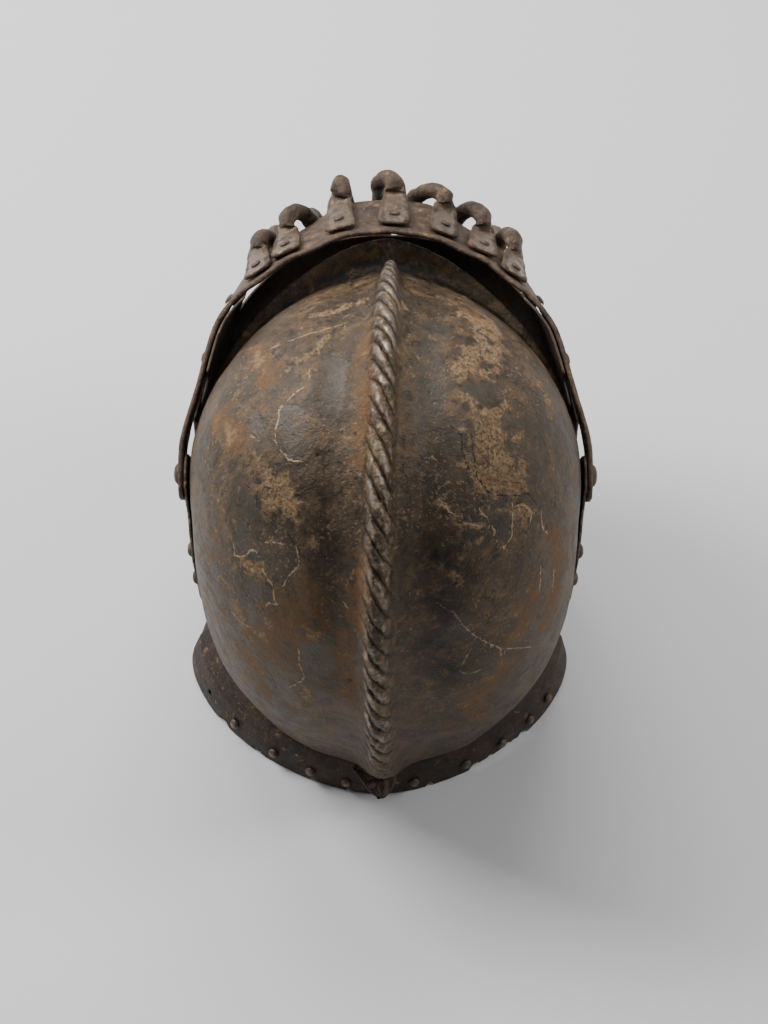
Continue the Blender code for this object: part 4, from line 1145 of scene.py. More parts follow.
@dataclass
class Collar:
    """The flared neck plates, one behind the neck and one in front of it."""

    bowl: Bowl
    bevor: Bevor
    plate: float = 0.0018
    width: float = 0.227
    back_reach: float = 0.092
    front_reach: float = 0.116
    backset: float = 0.012
    shift: float = 0.0035
    tuck: float = 0.008
    lap: float = 1.0 / 3.0
    rim_arch: float = 1.70
    pinch: float = 0.006
    neck_clearance: float = 0.0013
    lap_clearance: float = 0.0004
    bevor_clearance: float = 0.0003
    foot_share: float = 0.012
    hole: float = 0.0036
    drill_depth: float = 0.024
    hole_at: tuple[float, float] = (0.74, 0.32)

    FLARE = ((0.00, 1.00), (0.08, 1.00), (0.30, 0.93), (0.58, 0.76), (0.82, 0.42), (1.00, 0.00))
    CHIPS = (
        # around, half width, depth as a share of the plate's height
        (-0.465, 0.100, 0.110),
        (-0.575, 0.024, 0.150),
        (-0.375, 0.018, 0.150),
        (-0.500, 0.014, 0.160),
        (-0.430, 0.012, 0.150),
        (0.475, 0.018, 0.120),
        (0.640, 0.030, 0.100),
        (0.260, 0.012, 0.110),
        (0.130, 0.010, 0.100),
        (-0.210, 0.012, 0.110),
    )

    def point(self, around: float, height_share: float) -> Vector:
        """Returns a point of the collar's outer face.

        Args:
            around: in right angles from the middle of the back, so 1 is a side and 2 the front.
            height_share: from 0 on the ground to 1 at the neck, and on to 2 inside the bowl.

        Returns:
            The point in metres.
        """
        angle = around * math.pi / 2
        neck = self.bowl.SECTIONS[-1]
        flare = share_at(self.FLARE, min(height_share, 1.0))
        side_share, end_share = arch(angle, lerp(2.0, self.rim_arch, flare))
        tuck = self.bowl.plate + self.bowl.flute + self.neck_clearance
        neck_y = neck[3] * self.bowl.length
        high = PIVOT.z + neck[4] * self.bowl.height
        if math.cos(angle) >= 0.0:
            facing, pinch = 1.0, 0.0
            neck_end = (neck[0] - neck[3]) * self.bowl.length - tuck
            rim_end = self.back_reach
            edge = lerp(high, PIVOT.z + neck[1] * self.bowl.height, end_share ** 1.5)
        else:
            facing = -1.0
            neck_end = self.bevor.neck_reach + neck_y - self.bevor.plate - self.bevor_clearance
            rim_end = self.front_reach
            edge = high
            pinch = self.pinch * min(2.0 * (abs(around) - 1.0), 1.0) * flare
        x = lerp(neck[2] * self.bowl.half - tuck, self.width / 2, flare) - pinch
        y = lerp(neck_end, rim_end, flare)
        centre = lerp(neck_y, self.backset, flare)
        z = edge * min(height_share, 1.0) + self.tuck * max(height_share - 1.0, 0.0)
        return Vector((math.copysign(x * side_share, math.sin(angle)) + self.shift * flare,
                       PIVOT.y + centre + facing * y * end_share, z))

    def inner_point(self, around: float, height_share: float) -> Vector:
        """Returns the point of the front plate that lies inside the rear plate's."""
        inset = self.plate + self.lap_clearance
        below = outward(self.point, around, height_share - NORMAL_STEP)
        above = outward(self.point, around, height_share + NORMAL_STEP)
        bisector = (below + above).normalized()
        return self.point(around, height_share) - bisector * inset / bisector.dot(above)

    def heights(self) -> list[float]:
        """Returns the height shares of a plate's rows."""
        return spread([(self.foot_share, 6), (0.08, 8), (0.30, 10), (0.58, 10), (0.82, 8), (1.0, 5),
                       (2.0, 0)])

    def build_rear(self) -> None:
        """Makes the plate behind the neck, with the chips in its rim and one empty rivet hole."""
        half = spread([(0.0, 100), (0.75, 44), (1.0, 0)])
        around = [-share for share in reversed(half[1:])] + half
        heights = self.heights()
        chips = np.zeros(len(around))
        for middle, half_width, depth in self.CHIPS:
            away = np.abs(np.array(around) - middle) / half_width
            chips = np.maximum(chips, depth * np.clip(1.6 * (1.0 - away ** 3), 0.0, 1.0))
        points = np.array([[self.point(share, height + chip * max(1.0 - height / 0.6, 0.0))
                            for share, chip in zip(around, chips)] for height in heights])
        fields = hammer(points, 0.0003)
        piece = Shell(points, self.plate, ragged=0.0006, fields=fields).build("collar_back", Irons.COLLAR.value)
        self.drill(piece, self.hole_at)
        place(piece, Body.HELMET, "collar", "collar_rear")

    def build_front(self) -> None:
        """Makes the plate in front of the neck, whose ends lie inside the rear plate."""
        count = 80
        steps = [(1.0 + self.lap) * step / count for step in range(-count, count + 1)]
        around = [math.copysign(2.0 - abs(step), step) if step else 2.0 for step in steps]
        points = np.array([[self.inner_point(share, height) for share in around] for height in self.heights()])
        fields = hammer(points, 0.00025)
        piece = Shell(points, self.plate, ragged=0.0003, fields=fields).build("collar_breast", Irons.COLLAR.value)
        self.drill(piece, self.hole_at)
        place(piece, Body.HELMET, "collar", "collar_front")

    def drill(self, piece: bpy.types.Object, at: tuple[float, float]) -> None:
        """Cuts the empty rivet hole through a plate."""
        seat = self.point(*at)
        axis = outward(self.point, *at)
        turn = Vector((0.0, 0.0, 1.0)).rotation_difference(axis).to_matrix().to_4x4()
        tool = bmesh.new()
        bmesh.ops.create_cone(tool, cap_ends=True, segments=24, radius1=self.hole / 2, radius2=self.hole / 2,
                              depth=self.drill_depth, matrix=Matrix.Translation(seat) @ turn)
        mesh = bpy.data.meshes.new("drill")
        tool.to_mesh(mesh)
        tool.free()
        drill = add_object("drill", mesh)
        cut = piece.modifiers.new("Hole", "BOOLEAN")
        cut.operation = "DIFFERENCE"
        cut.solver = "EXACT"
        cut.object = drill
        bpy.context.view_layer.update()
        cut_mesh = bpy.data.meshes.new_from_object(piece.evaluated_get(bpy.context.evaluated_depsgraph_get()))
        piece.modifiers.clear()
        piece.data = cut_mesh
        cut_mesh.name = piece.name
        bpy.data.objects.remove(drill)

    def build(self) -> None:
        """Makes both plates."""
        self.build_rear()
        self.build_front()


# The tail and the rivets


@dataclass
class Tail:
    """The small split tail under the comb's end."""

    bowl: Bowl
    length: float = 0.019
    width: float = 0.028
    shift: float = 0.003
    plate: float = 0.003
    droop_deg: float = 22.0
    lift: float = 0.0009
    crown: float = 0.0009
    fall: float = 0.0022
    ridge: float = 0.00030
    ridges: float = 6.5
    start: float = 0.45
    steps: int = 26
    columns: int = 33

    SIDES = (
        # along, right edge, left edge: shares of the width
        (0.00, -0.40, 0.44),
        (0.10, -0.40, 0.54),
        (0.28, -0.40, 0.47),
        (0.45, -0.38, 0.38),
        (0.62, -0.34, 0.30),
        (0.84, -0.27, 0.18),
        (0.95, -0.20, 0.09),
        (1.00, -0.16, 0.03),
    )

    def frame(self) -> tuple[Vector, Vector, Vector]:
        """Returns the middle of the tail's root, the way along it and the way out of its upper face."""
        nape = Vector(self.bowl.place_of(self.bowl.last, 0.0))
        droop = math.radians(self.droop_deg)
        along = Vector((0.0, math.cos(droop), -math.sin(droop)))
        up = Vector((0.0, math.sin(droop), math.cos(droop)))
        base = nape + Vector((self.shift, 0.0, 0.0)) - along * self.start * self.length - up * self.lift
        return base, along, up

    def build(self) -> None:
        """Makes the tail, with the ridges that run on from the rope."""
        base, along, up = self.frame()
        last = float(len(self.SIDES) - 1)
        places = spread([(0.0, self.steps), (last, 0)])
        rows = []
        for at in places:
            run, right, left = smooth_row(self.SIDES, at)
            row = []
            for step in range(self.columns):
                share = step / (self.columns - 1)
                side = lerp(right, left, share)
                rise = self.ridge * math.sin(share * self.ridges * math.pi + run * 2.0) + self.crown
                rise -= self.fall * abs(2 * share - 1) ** 1.6
                row.append(base + along * run * self.length + Vector((side * self.width, 0.0, 0.0)) + up * rise)
            rows.append(row)
        points = np.array(rows)
        fields = hammer(points, 0.0004)
        fields["grime"] *= 0.4
        reach = np.array(places)[:, None] / last
        across = np.linspace(0.0, 1.0, self.columns)[None, :]
        fields["crack"] = (reach - 0.62 + 0.42 * across) * self.length / MM
        fields["crack_near"] = np.clip((across - 0.25) * 4.0, 0.0, 1.0) * np.ones_like(reach)
        piece = Shell(points, self.plate, ragged=0.0002, fields=fields).build("comb_end", Irons.BOWL.value)
        place(piece, Body.HELMET, "skull", "comb_tail")


@dataclass(frozen=True)
class Rivet:
    """A kind of rivet: the width and height of its head, and the width of its shank."""

    head: float
    dome: float
    shank: float

    SIDES = 28
    DENT_SIZE = 0.0024
    DENT_SHARE = 0.10
    OUTLINE = ((0.0, 1.0), (0.16, 0.97), (0.30, 0.84), (0.41, 0.60), (0.475, 0.30), (0.50, 0.06), (0.49, -0.04))

    def build(self, name: str, seat: Vector, axis: Vector, grip: float, fill: float = 1.0) -> bpy.types.Object:
        """Makes one rivet.

        Args:
            name: the piece's name.
            seat: where the underside of its head lies.
            axis: the way out of the plate.
            grip: how far its shank reaches in.
            fill: how high the dome still is, as a share.

        Returns:
            The rivet, a little uneven as if hammered.
        """
        sides = self.SIDES
        profile = [(share * self.head, rise * self.dome * fill) for share, rise in self.OUTLINE]
        profile += [(0.5 * self.shank, -0.04 * self.dome), (0.5 * self.shank, -grip)]
        turn = Vector((0.0, 0.0, 1.0)).rotation_difference(axis).to_matrix()
        points = []
        for radius, rise in profile[1:]:
            for side in range(sides):
                angle = 2 * math.pi * side / sides
                spot = Vector((radius * math.cos(angle), radius * math.sin(angle), rise))
                dent = noise.fractal((seat + spot) / self.DENT_SIZE, 1.0, 2.0, 2)
                if rise > 0:
                    spot *= 1.0 + min(dent, 0.0) * self.DENT_SHARE
                points.append(seat + turn @ spot)
        rings = len(profile) - 1
        index = np.arange(rings * sides).reshape(rings, sides)
        index = np.concatenate([index, index[:, :1]], axis=1)
        faces = quads(index)
        points += [seat + axis * profile[0][1] * 0.98, seat - axis * grip]
        for side in range(sides):
            faces.append((int(index[0, side]), int(index[0, side + 1]), len(points) - 2))
            faces.append((int(index[-1, side + 1]), int(index[-1, side]), len(points) - 1))
        wear = np.repeat([0.9, 0.75, 0.5, 0.25, 0.1, 0.0, 0.0, 0.0], sides)
        grime = np.repeat([0.0, 0.0, 0.0, 0.1, 0.3, 0.6, 1.0, 1.0], sides)
        ends = np.array([1.0, 0.0])
        fields = {"wear": np.concatenate([wear, ends]), "grime": np.concatenate([grime, 1.0 - ends])}
        return make_mesh(name, np.array([tuple(point) for point in points]), faces, Irons.RIVET.value, fields)


@dataclass
class Riveting:
    """All the rivets of the helmet."""

    bevor: Bevor
    visor: Visor
    collar: Collar
    tail: Tail
    gap: float = 0.0003

    KINDS = {
        "pivot": Rivet(0.0130, 0.0030, 0.0060),
        "bevor": Rivet(0.0090, 0.0026, 0.0044),
        "cheek": Rivet(0.0070, 0.0016, 0.0036),
        "bar": Rivet(0.0062, 0.0014, 0.0036),
        "collar": Rivet(0.0066, 0.0024, 0.0034),
        "tail": Rivet(0.0056, 0.0012, 0.0026),
    }
    BEVOR_HEIGHTS = (0.53, 0.72)
    BEVOR_AROUND = 0.985
    CHEEK_STATIONS = (5.6, 7.9)
    COLLAR_PLACES = (0.58, 0.41, 0.27, 0.14, -0.147, -0.337, -0.478, -0.61, -0.72)
    COLLAR_HEIGHT = 0.32

    def set(self, kind: str, node: str, body: Body, seat: Vector, axis: Vector, grip: float) -> None:
        """Sets one rivet in place of its CAD node."""
        piece = self.KINDS[kind].build(f"{node}_head", seat + axis * self.gap, axis, grip)
        place(piece, body, "rivet", node)

    def build(self) -> None:
        """Sets every rivet."""
        shell = self.bevor.standoff + self.bevor.bowl.plate
        visor, collar = self.visor, self.collar
        for side, hand in ((1.0, "left"), (-1.0, "right")):
            out = Vector((side, 0.0, 0.0))
            self.set("pivot", f"pivot_{hand}", Body.HELMET, PIVOT + out * visor.arm_outer, out,
                     visor.band_plate + self.bevor.plate + shell)
            for number, height in enumerate(self.BEVOR_HEIGHTS, 1):
                around = side * self.BEVOR_AROUND
                self.set("bevor", f"bevor_rivet_{hand}_{number}", Body.HELMET, self.bevor.point(height, around),
                         outward(self.bevor.point, height, around), self.bevor.plate + shell)
            for number, station in enumerate(self.CHEEK_STATIONS, 1):
                deep = visor.cheek_clearance + visor.cheek_plate
                self.set("cheek", f"cheek_rivet_{hand}_{number}", Body.VISOR, visor.band(side * station, 0.0),
                         outward(visor.band, side * station, 0.0), visor.band_plate + deep)
                around = visor.strap_under(side * station)
                self.set("cheek", f"cheek_rivet_{hand}_{number + 2}", Body.VISOR, visor.strap(around, -0.5),
                         outward(visor.strap, around, -0.5), visor.strap_plate + deep)
        for number, (band_x, _, strap_x, _) in enumerate(visor.BARS, 1):
            ends = visor.seats(band_x, strap_x)
            for seat, share, level, deep in ((ends[0], 0.30, "upper", visor.band_plate),
                                             (ends[1], 0.45, "lower", visor.strap_plate)):
                (start, _), (end, normal), _ = seat
                self.set("bar", f"bar_rivet_{number}_{level}", Body.VISOR,
                         start.lerp(end, 2 * share) + normal * visor.paddle_plate / 2, normal,
                         visor.paddle_plate + visor.seat_clearance + deep)
        for number, around in enumerate(self.COLLAR_PLACES, 1):
            self.set("collar", f"collar_rivet_{number}", Body.HELMET, collar.point(around, self.COLLAR_HEIGHT),
                     outward(collar.point, around, self.COLLAR_HEIGHT), collar.plate)
        base, along, up = self.tail.frame()
        seat = base + along * 0.62 * self.tail.length + Vector((0.12 * self.tail.width, 0.0, 0.0))
        self.set("tail", "tail_rivet", Body.HELMET, seat, up, self.tail.plate)


# Finishes


class Wiring:
    """Adds nodes to a tree, with numbers, colours or sockets as their inputs."""

    def __init__(self, tree: bpy.types.NodeTree) -> None:
        """Keeps the tree that the nodes go into."""
        self.tree = tree

    def add(self, kind: str, inputs: dict[int | str, object], **settings: object) -> bpy.types.Node:
        """Adds a node.

        Args:
            kind: the node's type.
            inputs: what goes into each input, by number or name.
            **settings: the node's own properties.

        Returns:
            The node.
        """
        node = self.tree.nodes.new(kind)
        for key, value in settings.items():
            setattr(node, key, value)
        self.fill(node, inputs)
        return node

    def fill(self, node: bpy.types.Node, inputs: dict[int | str, object]) -> None:
        """Sets or links a node's inputs, by number or name."""
        for key, value in inputs.items():
            if isinstance(value, bpy.types.NodeSocket):
                self.tree.links.new(value, node.inputs[key])
            else:
                node.inputs[key].default_value = value

    def link(self, value: Socket, node: bpy.types.Node, name: str) -> None:
        """Links a value to a node's input."""
        self.tree.links.new(value, node.inputs[name])

    def math(self, operation: str, *values: object, clamp: bool = False) -> Socket:
        """Adds a math node and returns its result."""
        return self.add("ShaderNodeMath", dict(enumerate(values)), operation=operation,
                        use_clamp=clamp).outputs[0]

    def times(self, first: object, second: object) -> Socket:
        """Returns the product of two numbers."""
        return self.math("MULTIPLY", first, second)

    def plus(self, first: object, second: object) -> Socket:
        """Returns the sum of two numbers."""
        return self.math("ADD", first, second)

    def minus(self, first: object, second: object) -> Socket:
        """Returns the first number less the second."""
        return self.math("SUBTRACT", first, second)

    def noise(self, vector: Socket, scale: object, detail: float = 4.0, roughness: float = 0.55,
              distortion: float = 0.0) -> Socket:
        """Adds a noise texture and returns its value."""
        inputs = {"Vector": vector, "Scale": scale, "Detail": detail, "Roughness": roughness,
                  "Distortion": distortion}
        return self.add("ShaderNodeTexNoise", inputs).outputs["Fac"]

    def window(self, value: object, low: object, high: object) -> Socket:
        """Returns a smooth step from 0 at low to 1 at high."""
        inputs = {"Value": value, "From Min": low, "From Max": high}
        return self.add("ShaderNodeMapRange", inputs, interpolation_type="SMOOTHSTEP").outputs["Result"]

    def blend(self, share: object, first: object, second: object) -> Socket:
        """Returns a number between two numbers."""
        return self.add("ShaderNodeMix", {0: share, 2: first, 3: second}, data_type="FLOAT").outputs[0]

    def tint(self, share: object, first: object, second: object) -> Socket:
        """Returns a colour between two colours."""
        inputs = {0: share, 6: opaque(first), 7: opaque(second)}
        return self.add("ShaderNodeMix", inputs, data_type="RGBA").outputs[2]

    def field(self, name: str) -> Socket:
        """Returns the value that the mesh carries under a name."""
        return self.add("ShaderNodeAttribute", {}, attribute_name=name).outputs["Fac"]

    def effect(self, group: bpy.types.NodeTree, **inputs: object) -> bpy.types.Node:
        """Places a shared effect, with its inputs by name."""
        node = self.tree.nodes.new("ShaderNodeGroup")
        node.node_tree = group
        self.fill(node, {key.replace("_", " "): value for key, value in inputs.items()})
        return node


PATINA_GLOSS = 0.32
CRUST_ROUGHNESS = 0.82
BARE_ROUGHNESS = 0.34
PATINA_METAL = 0.22
BARE_METAL = 0.85


def opaque(colour: object) -> object:
    """Returns a colour with full opacity, or a socket as it is."""
    return colour if isinstance(colour, bpy.types.NodeSocket) else (*colour, 1.0)


def new_effect(name: str, inputs: dict[str, float | None], outputs: Sequence[str]) -> tuple[
        Wiring, bpy.types.Node, bpy.types.Node]:
    """Starts a shared effect.

    Args:
        name: the effect's name.
        inputs: each input's first value, or None for a vector.
        outputs: the names of its outputs.

    Returns:
        What adds its nodes, its input node and its output node.
    """
    group = bpy.data.node_groups.new(name, "ShaderNodeTree")
    for key, value in inputs.items():
        kind = "NodeSocketVector" if value is None else "NodeSocketFloat"
        socket = group.interface.new_socket(key, in_out="INPUT", socket_type=kind)
        if value is not None:
            socket.default_value = value
    for key in outputs:
        group.interface.new_socket(key, in_out="OUTPUT", socket_type="NodeSocketFloat")
    return Wiring(group), group.nodes.new("NodeGroupInput"), group.nodes.new("NodeGroupOutput")


class Effects:
    """The effects that the irons share, each built once."""

    def __init__(self) -> None:
        """Builds the effects."""
        self.stain = self.build_stain()
        self.line = self.build_line()
        self.flecks = self.build_flecks()
        self.pitting = self.build_pitting()
        self.rubbed = self.build_rubbed()
        self.strand = self.build_strand()

    def build_stain(self) -> bpy.types.NodeTree:
        """A stain whose border is broken up by noise, with a mask of its border."""
        wires, given, out = new_effect("Broken stain", {"Vector": None, "Field": 0.0, "Scale": 120.0,
                                                        "Breakup": 0.5, "Softness": 0.04}, ("Mask", "Border"))
        noise_value = wires.noise(given.outputs["Vector"], given.outputs["Scale"], 5.0, 0.62, 0.6)
        centred = wires.times(wires.minus(noise_value, 0.5), given.outputs["Breakup"])
        value = wires.plus(given.outputs["Field"], wires.times(centred, 2.0))
        low = wires.minus(0.5, given.outputs["Softness"])
        high = wires.plus(0.5, given.outputs["Softness"])
        wires.link(wires.window(value, low, high), out, "Mask")
        away = wires.math("ABSOLUTE", wires.minus(value, 0.5))
        wires.link(wires.window(away, 0.05, 0.012), out, "Border")
        return wires.tree

    def build_line(self) -> bpy.types.NodeTree:
        """A thin wandering line, from a signed distance in millimetres and its fade."""
        wires, given, out = new_effect("Flake line", {"Vector": None, "Signed": 9.0, "Near": 0.0, "Width": 0.4},
                                       ("Mask",))
        sway = wires.times(wires.minus(wires.noise(given.outputs["Vector"], 380.0, 3.0), 0.5), 2.2)
        away = wires.math("ABSOLUTE", wires.plus(given.outputs["Signed"], sway))
        breaks = wires.window(wires.noise(given.outputs["Vector"], 330.0, 3.0, 0.6), 0.36, 0.60)
        width = wires.times(wires.times(given.outputs["Width"], breaks), 1.6)
        edge = wires.times(width, 0.4)
        mask = wires.window(away, width, edge)
        shown = wires.window(given.outputs["Near"], 0.22, 0.45)
        wires.link(wires.times(mask, shown), out, "Mask")
        return wires.tree

    def build_flecks(self) -> bpy.types.NodeTree:
        """Small grains that gather in some places."""
        wires, given, out = new_effect("Flecks", {"Vector": None, "Scale": 520.0, "Gather Scale": 40.0,
                                                  "Share": 0.35}, ("Mask",))
        grain = wires.noise(given.outputs["Vector"], given.outputs["Scale"], 2.0, 0.6)
        gather = wires.noise(given.outputs["Vector"], given.outputs["Gather Scale"], 4.0, 0.6)
        start = wires.minus(0.86, wires.times(given.outputs["Share"], gather))
        wires.link(wires.window(grain, start, wires.plus(start, 0.05)), out, "Mask")
        return wires.tree

    def build_pitting(self) -> bpy.types.NodeTree:
        """The tooth of old corroded iron, as a height and as a mask of its pits."""
        wires, given, out = new_effect("Pitting", {"Vector": None, "Scale": 300.0, "Share": 0.5},
                                       ("Height", "Mask"))
        scale = given.outputs["Scale"]
        coarse = wires.noise(given.outputs["Vector"], scale, 6.0, 0.66)
        cells = wires.add("ShaderNodeTexVoronoi", {"Vector": given.outputs["Vector"], "Scale": scale},
                          feature="SMOOTH_F1")
        hollow = wires.window(cells.outputs["Distance"], 0.34, 0.10)
        where = wires.window(wires.noise(given.outputs["Vector"], wires.times(scale, 0.22), 3.0),
                             wires.minus(0.72, wires.times(given.outputs["Share"], 0.3)), 0.74)
        pit = wires.times(hollow, where)
        wires.link(wires.minus(coarse, wires.times(pit, 0.5)), out, "Height")
        wires.link(pit, out, "Mask")
        return wires.tree

    def build_strand(self) -> bpy.types.NodeTree:
        """The rope's strands, from how many turns lie before each point."""
        wires, given, out = new_effect("Rope strand", {"Vector": None, "Turns": 0.0, "Twist": 0.0},
                                       ("Height", "Groove", "Crest"))
        sway = wires.times(wires.minus(wires.noise(given.outputs["Vector"], 130.0, 5.0), 0.5), 0.50)
        cycle = wires.math("FRACT", wires.plus(given.outputs["Turns"], sway))
        away = wires.minus(wires.times(cycle, 2.0), 1.0)
        profile = wires.math("SQRT", wires.minus(1.0, wires.times(away, away)))
        twist = given.outputs["Twist"]
        wires.link(wires.times(profile, twist), out, "Height")
        groove = wires.window(profile, 0.62, 0.20)
        wires.link(wires.times(groove, twist), out, "Groove")
        crest = wires.window(profile, 0.50, 0.92)
        wires.link(wires.times(crest, twist), out, "Crest")
        return wires.tree

    def build_rubbed(self) -> bpy.types.NodeTree:
        """Where hands and handling have rubbed ridges and edges bright, and the painted highlight on the bowl's
        brow rim.
        """
        wires, given, out = new_effect("Rubbed edge", {"Vector": None, "Wear": 0.0, "Edge": 0.0, "Gain": 1.0},
                                       ("Mask",))
        broken = wires.noise(given.outputs["Vector"], 260.0, 5.0, 0.7)
        bare = wires.plus(given.outputs["Wear"], wires.times(given.outputs["Edge"], 0.38))
        bare = wires.times(bare, given.outputs["Gain"])
        value = wires.plus(bare, wires.times(wires.minus(broken, 0.5), 1.3))
        wires.link(wires.times(wires.window(value, 0.42, 0.95), wires.window(bare, 0.08, 0.35)),
                   out, "Mask")
        return wires.tree


@dataclass(frozen=True)
class IronFinish:
    """Old iron under a dark waxed patina.

    Attributes:
        name: the material's name.
        deep: the darkest patina.
        base: the usual patina.
        warm: its browner patches.
        slate: where the patina is thin and blue-grey.
        rust: brown rust.
        crust: ochre crust and old paint.
        pale: its palest grains and the flaked edges.
        bare: rubbed metal.
        wear_gain: how far the ridges and edges are rubbed.
        fleck_share: how many ochre grains lie on it.
        rust_share: how much of it has turned brown by itself.
        roughness: of the smooth patina and of the dry patches.
        tooth: how deep the corrosion looks, in metres.
        tooth_scale: how fine it is.
    """

    name: str
    deep: Row
    base: Row
    warm: Row
    slate: Row
    rust: Row
    crust: Row
    pale: Row
    bare: Row
    wear_gain: float
    fleck_share: float
    rust_share: float
    roughness: tuple[float, float]
    tooth: float
    tooth_scale: float

    def material(self) -> bpy.types.Material:
        """Returns the finish as a material, made on first use."""
        found = bpy.data.materials.get(self.name)
        if found:
            return found
        material = bpy.data.materials.new(self.name)
        material.use_nodes = True
        wires = Wiring(material.node_tree)
        self.wire(wires, material.node_tree.nodes["Principled BSDF"], effects())
        return material

    def wire(self, wires: Wiring, shader: bpy.types.Node, shared: Effects) -> None:
        """Builds the material's nodes from the shared effects."""
        spot = wires.add("ShaderNodeTexCoord", {}).outputs["Object"]
        broad = wires.noise(spot, 10.0, 3.0, 0.5, 0.6)
        patchy = wires.noise(spot, 40.0, 6.0, 0.62, 1.2)
        mottle = wires.noise(spot, 150.0, 7.0, 0.70, 0.4)
        fine = wires.noise(spot, 600.0, 5.0, 0.72)
        comb = wires.field("comb")
        inside = wires.field("inside")
        ground = wires.plus(wires.times(broad, 0.45), wires.times(patchy, 0.55))
        colour = wires.tint(wires.window(ground, 0.22, 0.52), self.deep, self.base)
        warm = wires.times(wires.window(patchy, 0.44, 0.62), wires.window(mottle, 0.36, 0.62))
        colour = wires.tint(wires.times(warm, 0.9), colour, self.warm)
        colour = wires.tint(wires.times(wires.window(mottle, 0.50, 0.34), 0.7), colour, self.deep)
        colour = wires.tint(wires.times(wires.window(fine, 0.52, 0.34), 0.45), colour, self.deep)
        slate = wires.effect(shared.stain, Vector=spot, Field=wires.field("slate"), Scale=70.0, Breakup=0.62,
                             Softness=0.10)
        slate_mask = wires.times(slate.outputs["Mask"], 0.62)
        colour = wires.tint(slate_mask, colour, wires.tint(mottle, self.slate, self.base))
        rust_field = wires.plus(wires.field("rust"), wires.times(wires.window(
            wires.noise(spot, 24.0, 4.0, 0.6), 0.5, 0.8), self.rust_share))
        rust = wires.effect(shared.stain, Vector=spot, Field=rust_field, Scale=95.0, Breakup=1.35, Softness=0.24)
        rust_gain = wires.blend(wires.window(mottle, 0.36, 0.60), 0.30, 0.92)
        rust_mask = wires.times(rust.outputs["Mask"], rust_gain)
        colour = wires.tint(rust_mask, colour, wires.tint(wires.window(fine, 0.36, 0.62), self.warm, self.rust))
        crust = wires.effect(shared.stain, Vector=spot, Field=wires.field("crust"), Scale=150.0, Breakup=1.7,
                             Softness=0.20)
        flecks = wires.effect(shared.flecks, Vector=spot, Scale=520.0, Gather_Scale=34.0, Share=self.fleck_share)
        crust_mask = wires.math("MAXIMUM", crust.outputs["Mask"], wires.times(flecks.outputs["Mask"], 0.8))
        grains = wires.window(wires.noise(spot, 380.0, 5.0, 0.72), 0.42, 0.66)
        crust_colour = wires.tint(grains, self.crust, self.pale)
        crust_show = wires.times(crust_mask, wires.window(fine, 0.36, 0.56))
        colour = wires.tint(wires.times(crust_show, 0.80), colour, crust_colour)
        line = wires.effect(shared.line, Vector=spot, Signed=wires.field("line"), Near=wires.field("line_near"),
                            Width=0.50)
        crack = wires.effect(shared.line, Vector=spot, Signed=wires.field("crack"), Near=wires.field("crack_near"),
                             Width=0.55)
        colour = wires.tint(wires.times(line.outputs["Mask"], 0.92), colour, self.pale)
        colour = wires.tint(wires.times(crack.outputs["Mask"], 0.9), colour, self.deep)
        pits = wires.effect(shared.pitting, Vector=spot, Scale=self.tooth_scale, Share=0.55)
        grime = wires.math("MAXIMUM", wires.field("grime"), wires.times(pits.outputs["Mask"], 0.55))
        grime = wires.math("MAXIMUM", grime, wires.window(wires.field("pit"), 0.35, 0.7))
        grime = wires.math("MULTIPLY", grime, wires.window(mottle, 0.70, 0.40), clamp=True)
        colour = wires.tint(wires.times(grime, 0.86), colour, tuple(share * 0.22 for share in self.deep))
        # Painted shade in the valley behind the brow rim: the colour is pulled towards a darker copy of the deep
        # patina.
        brow_valley_shade = wires.times(wires.field("brow_valley_shade"), wires.window(mottle, 0.80, 0.45))
        colour = wires.tint(brow_valley_shade, colour, tuple(share * 0.30 for share in self.deep))
        strand = wires.effect(shared.strand, Vector=spot, Turns=wires.field("turns"), Twist=wires.field("twist"))
        colour = wires.tint(wires.times(strand.outputs["Groove"], 0.80), colour, self.deep)
        broken = wires.window(wires.noise(spot, 120.0, 5.0, 0.65), 0.34, 0.58)
        worn = wires.times(strand.outputs["Crest"], wires.blend(comb, 0.95, 0.50))
        worn = wires.times(worn, wires.blend(broken, 0.45, 1.0))
        # The wear field brings in the painted highlight on the bowl's brow rim as well as real wear.
        worn = wires.math("MAXIMUM", wires.field("wear"), worn)
        rubbed = wires.effect(shared.rubbed, Vector=spot, Wear=worn, Edge=wires.field("edge"),
                              Gain=self.wear_gain)
        bare = wires.times(rubbed.outputs["Mask"], wires.minus(1.0, brow_valley_shade))
        colour = wires.tint(bare, colour, wires.tint(fine, tuple(share * 0.6 for share in self.bare), self.bare))
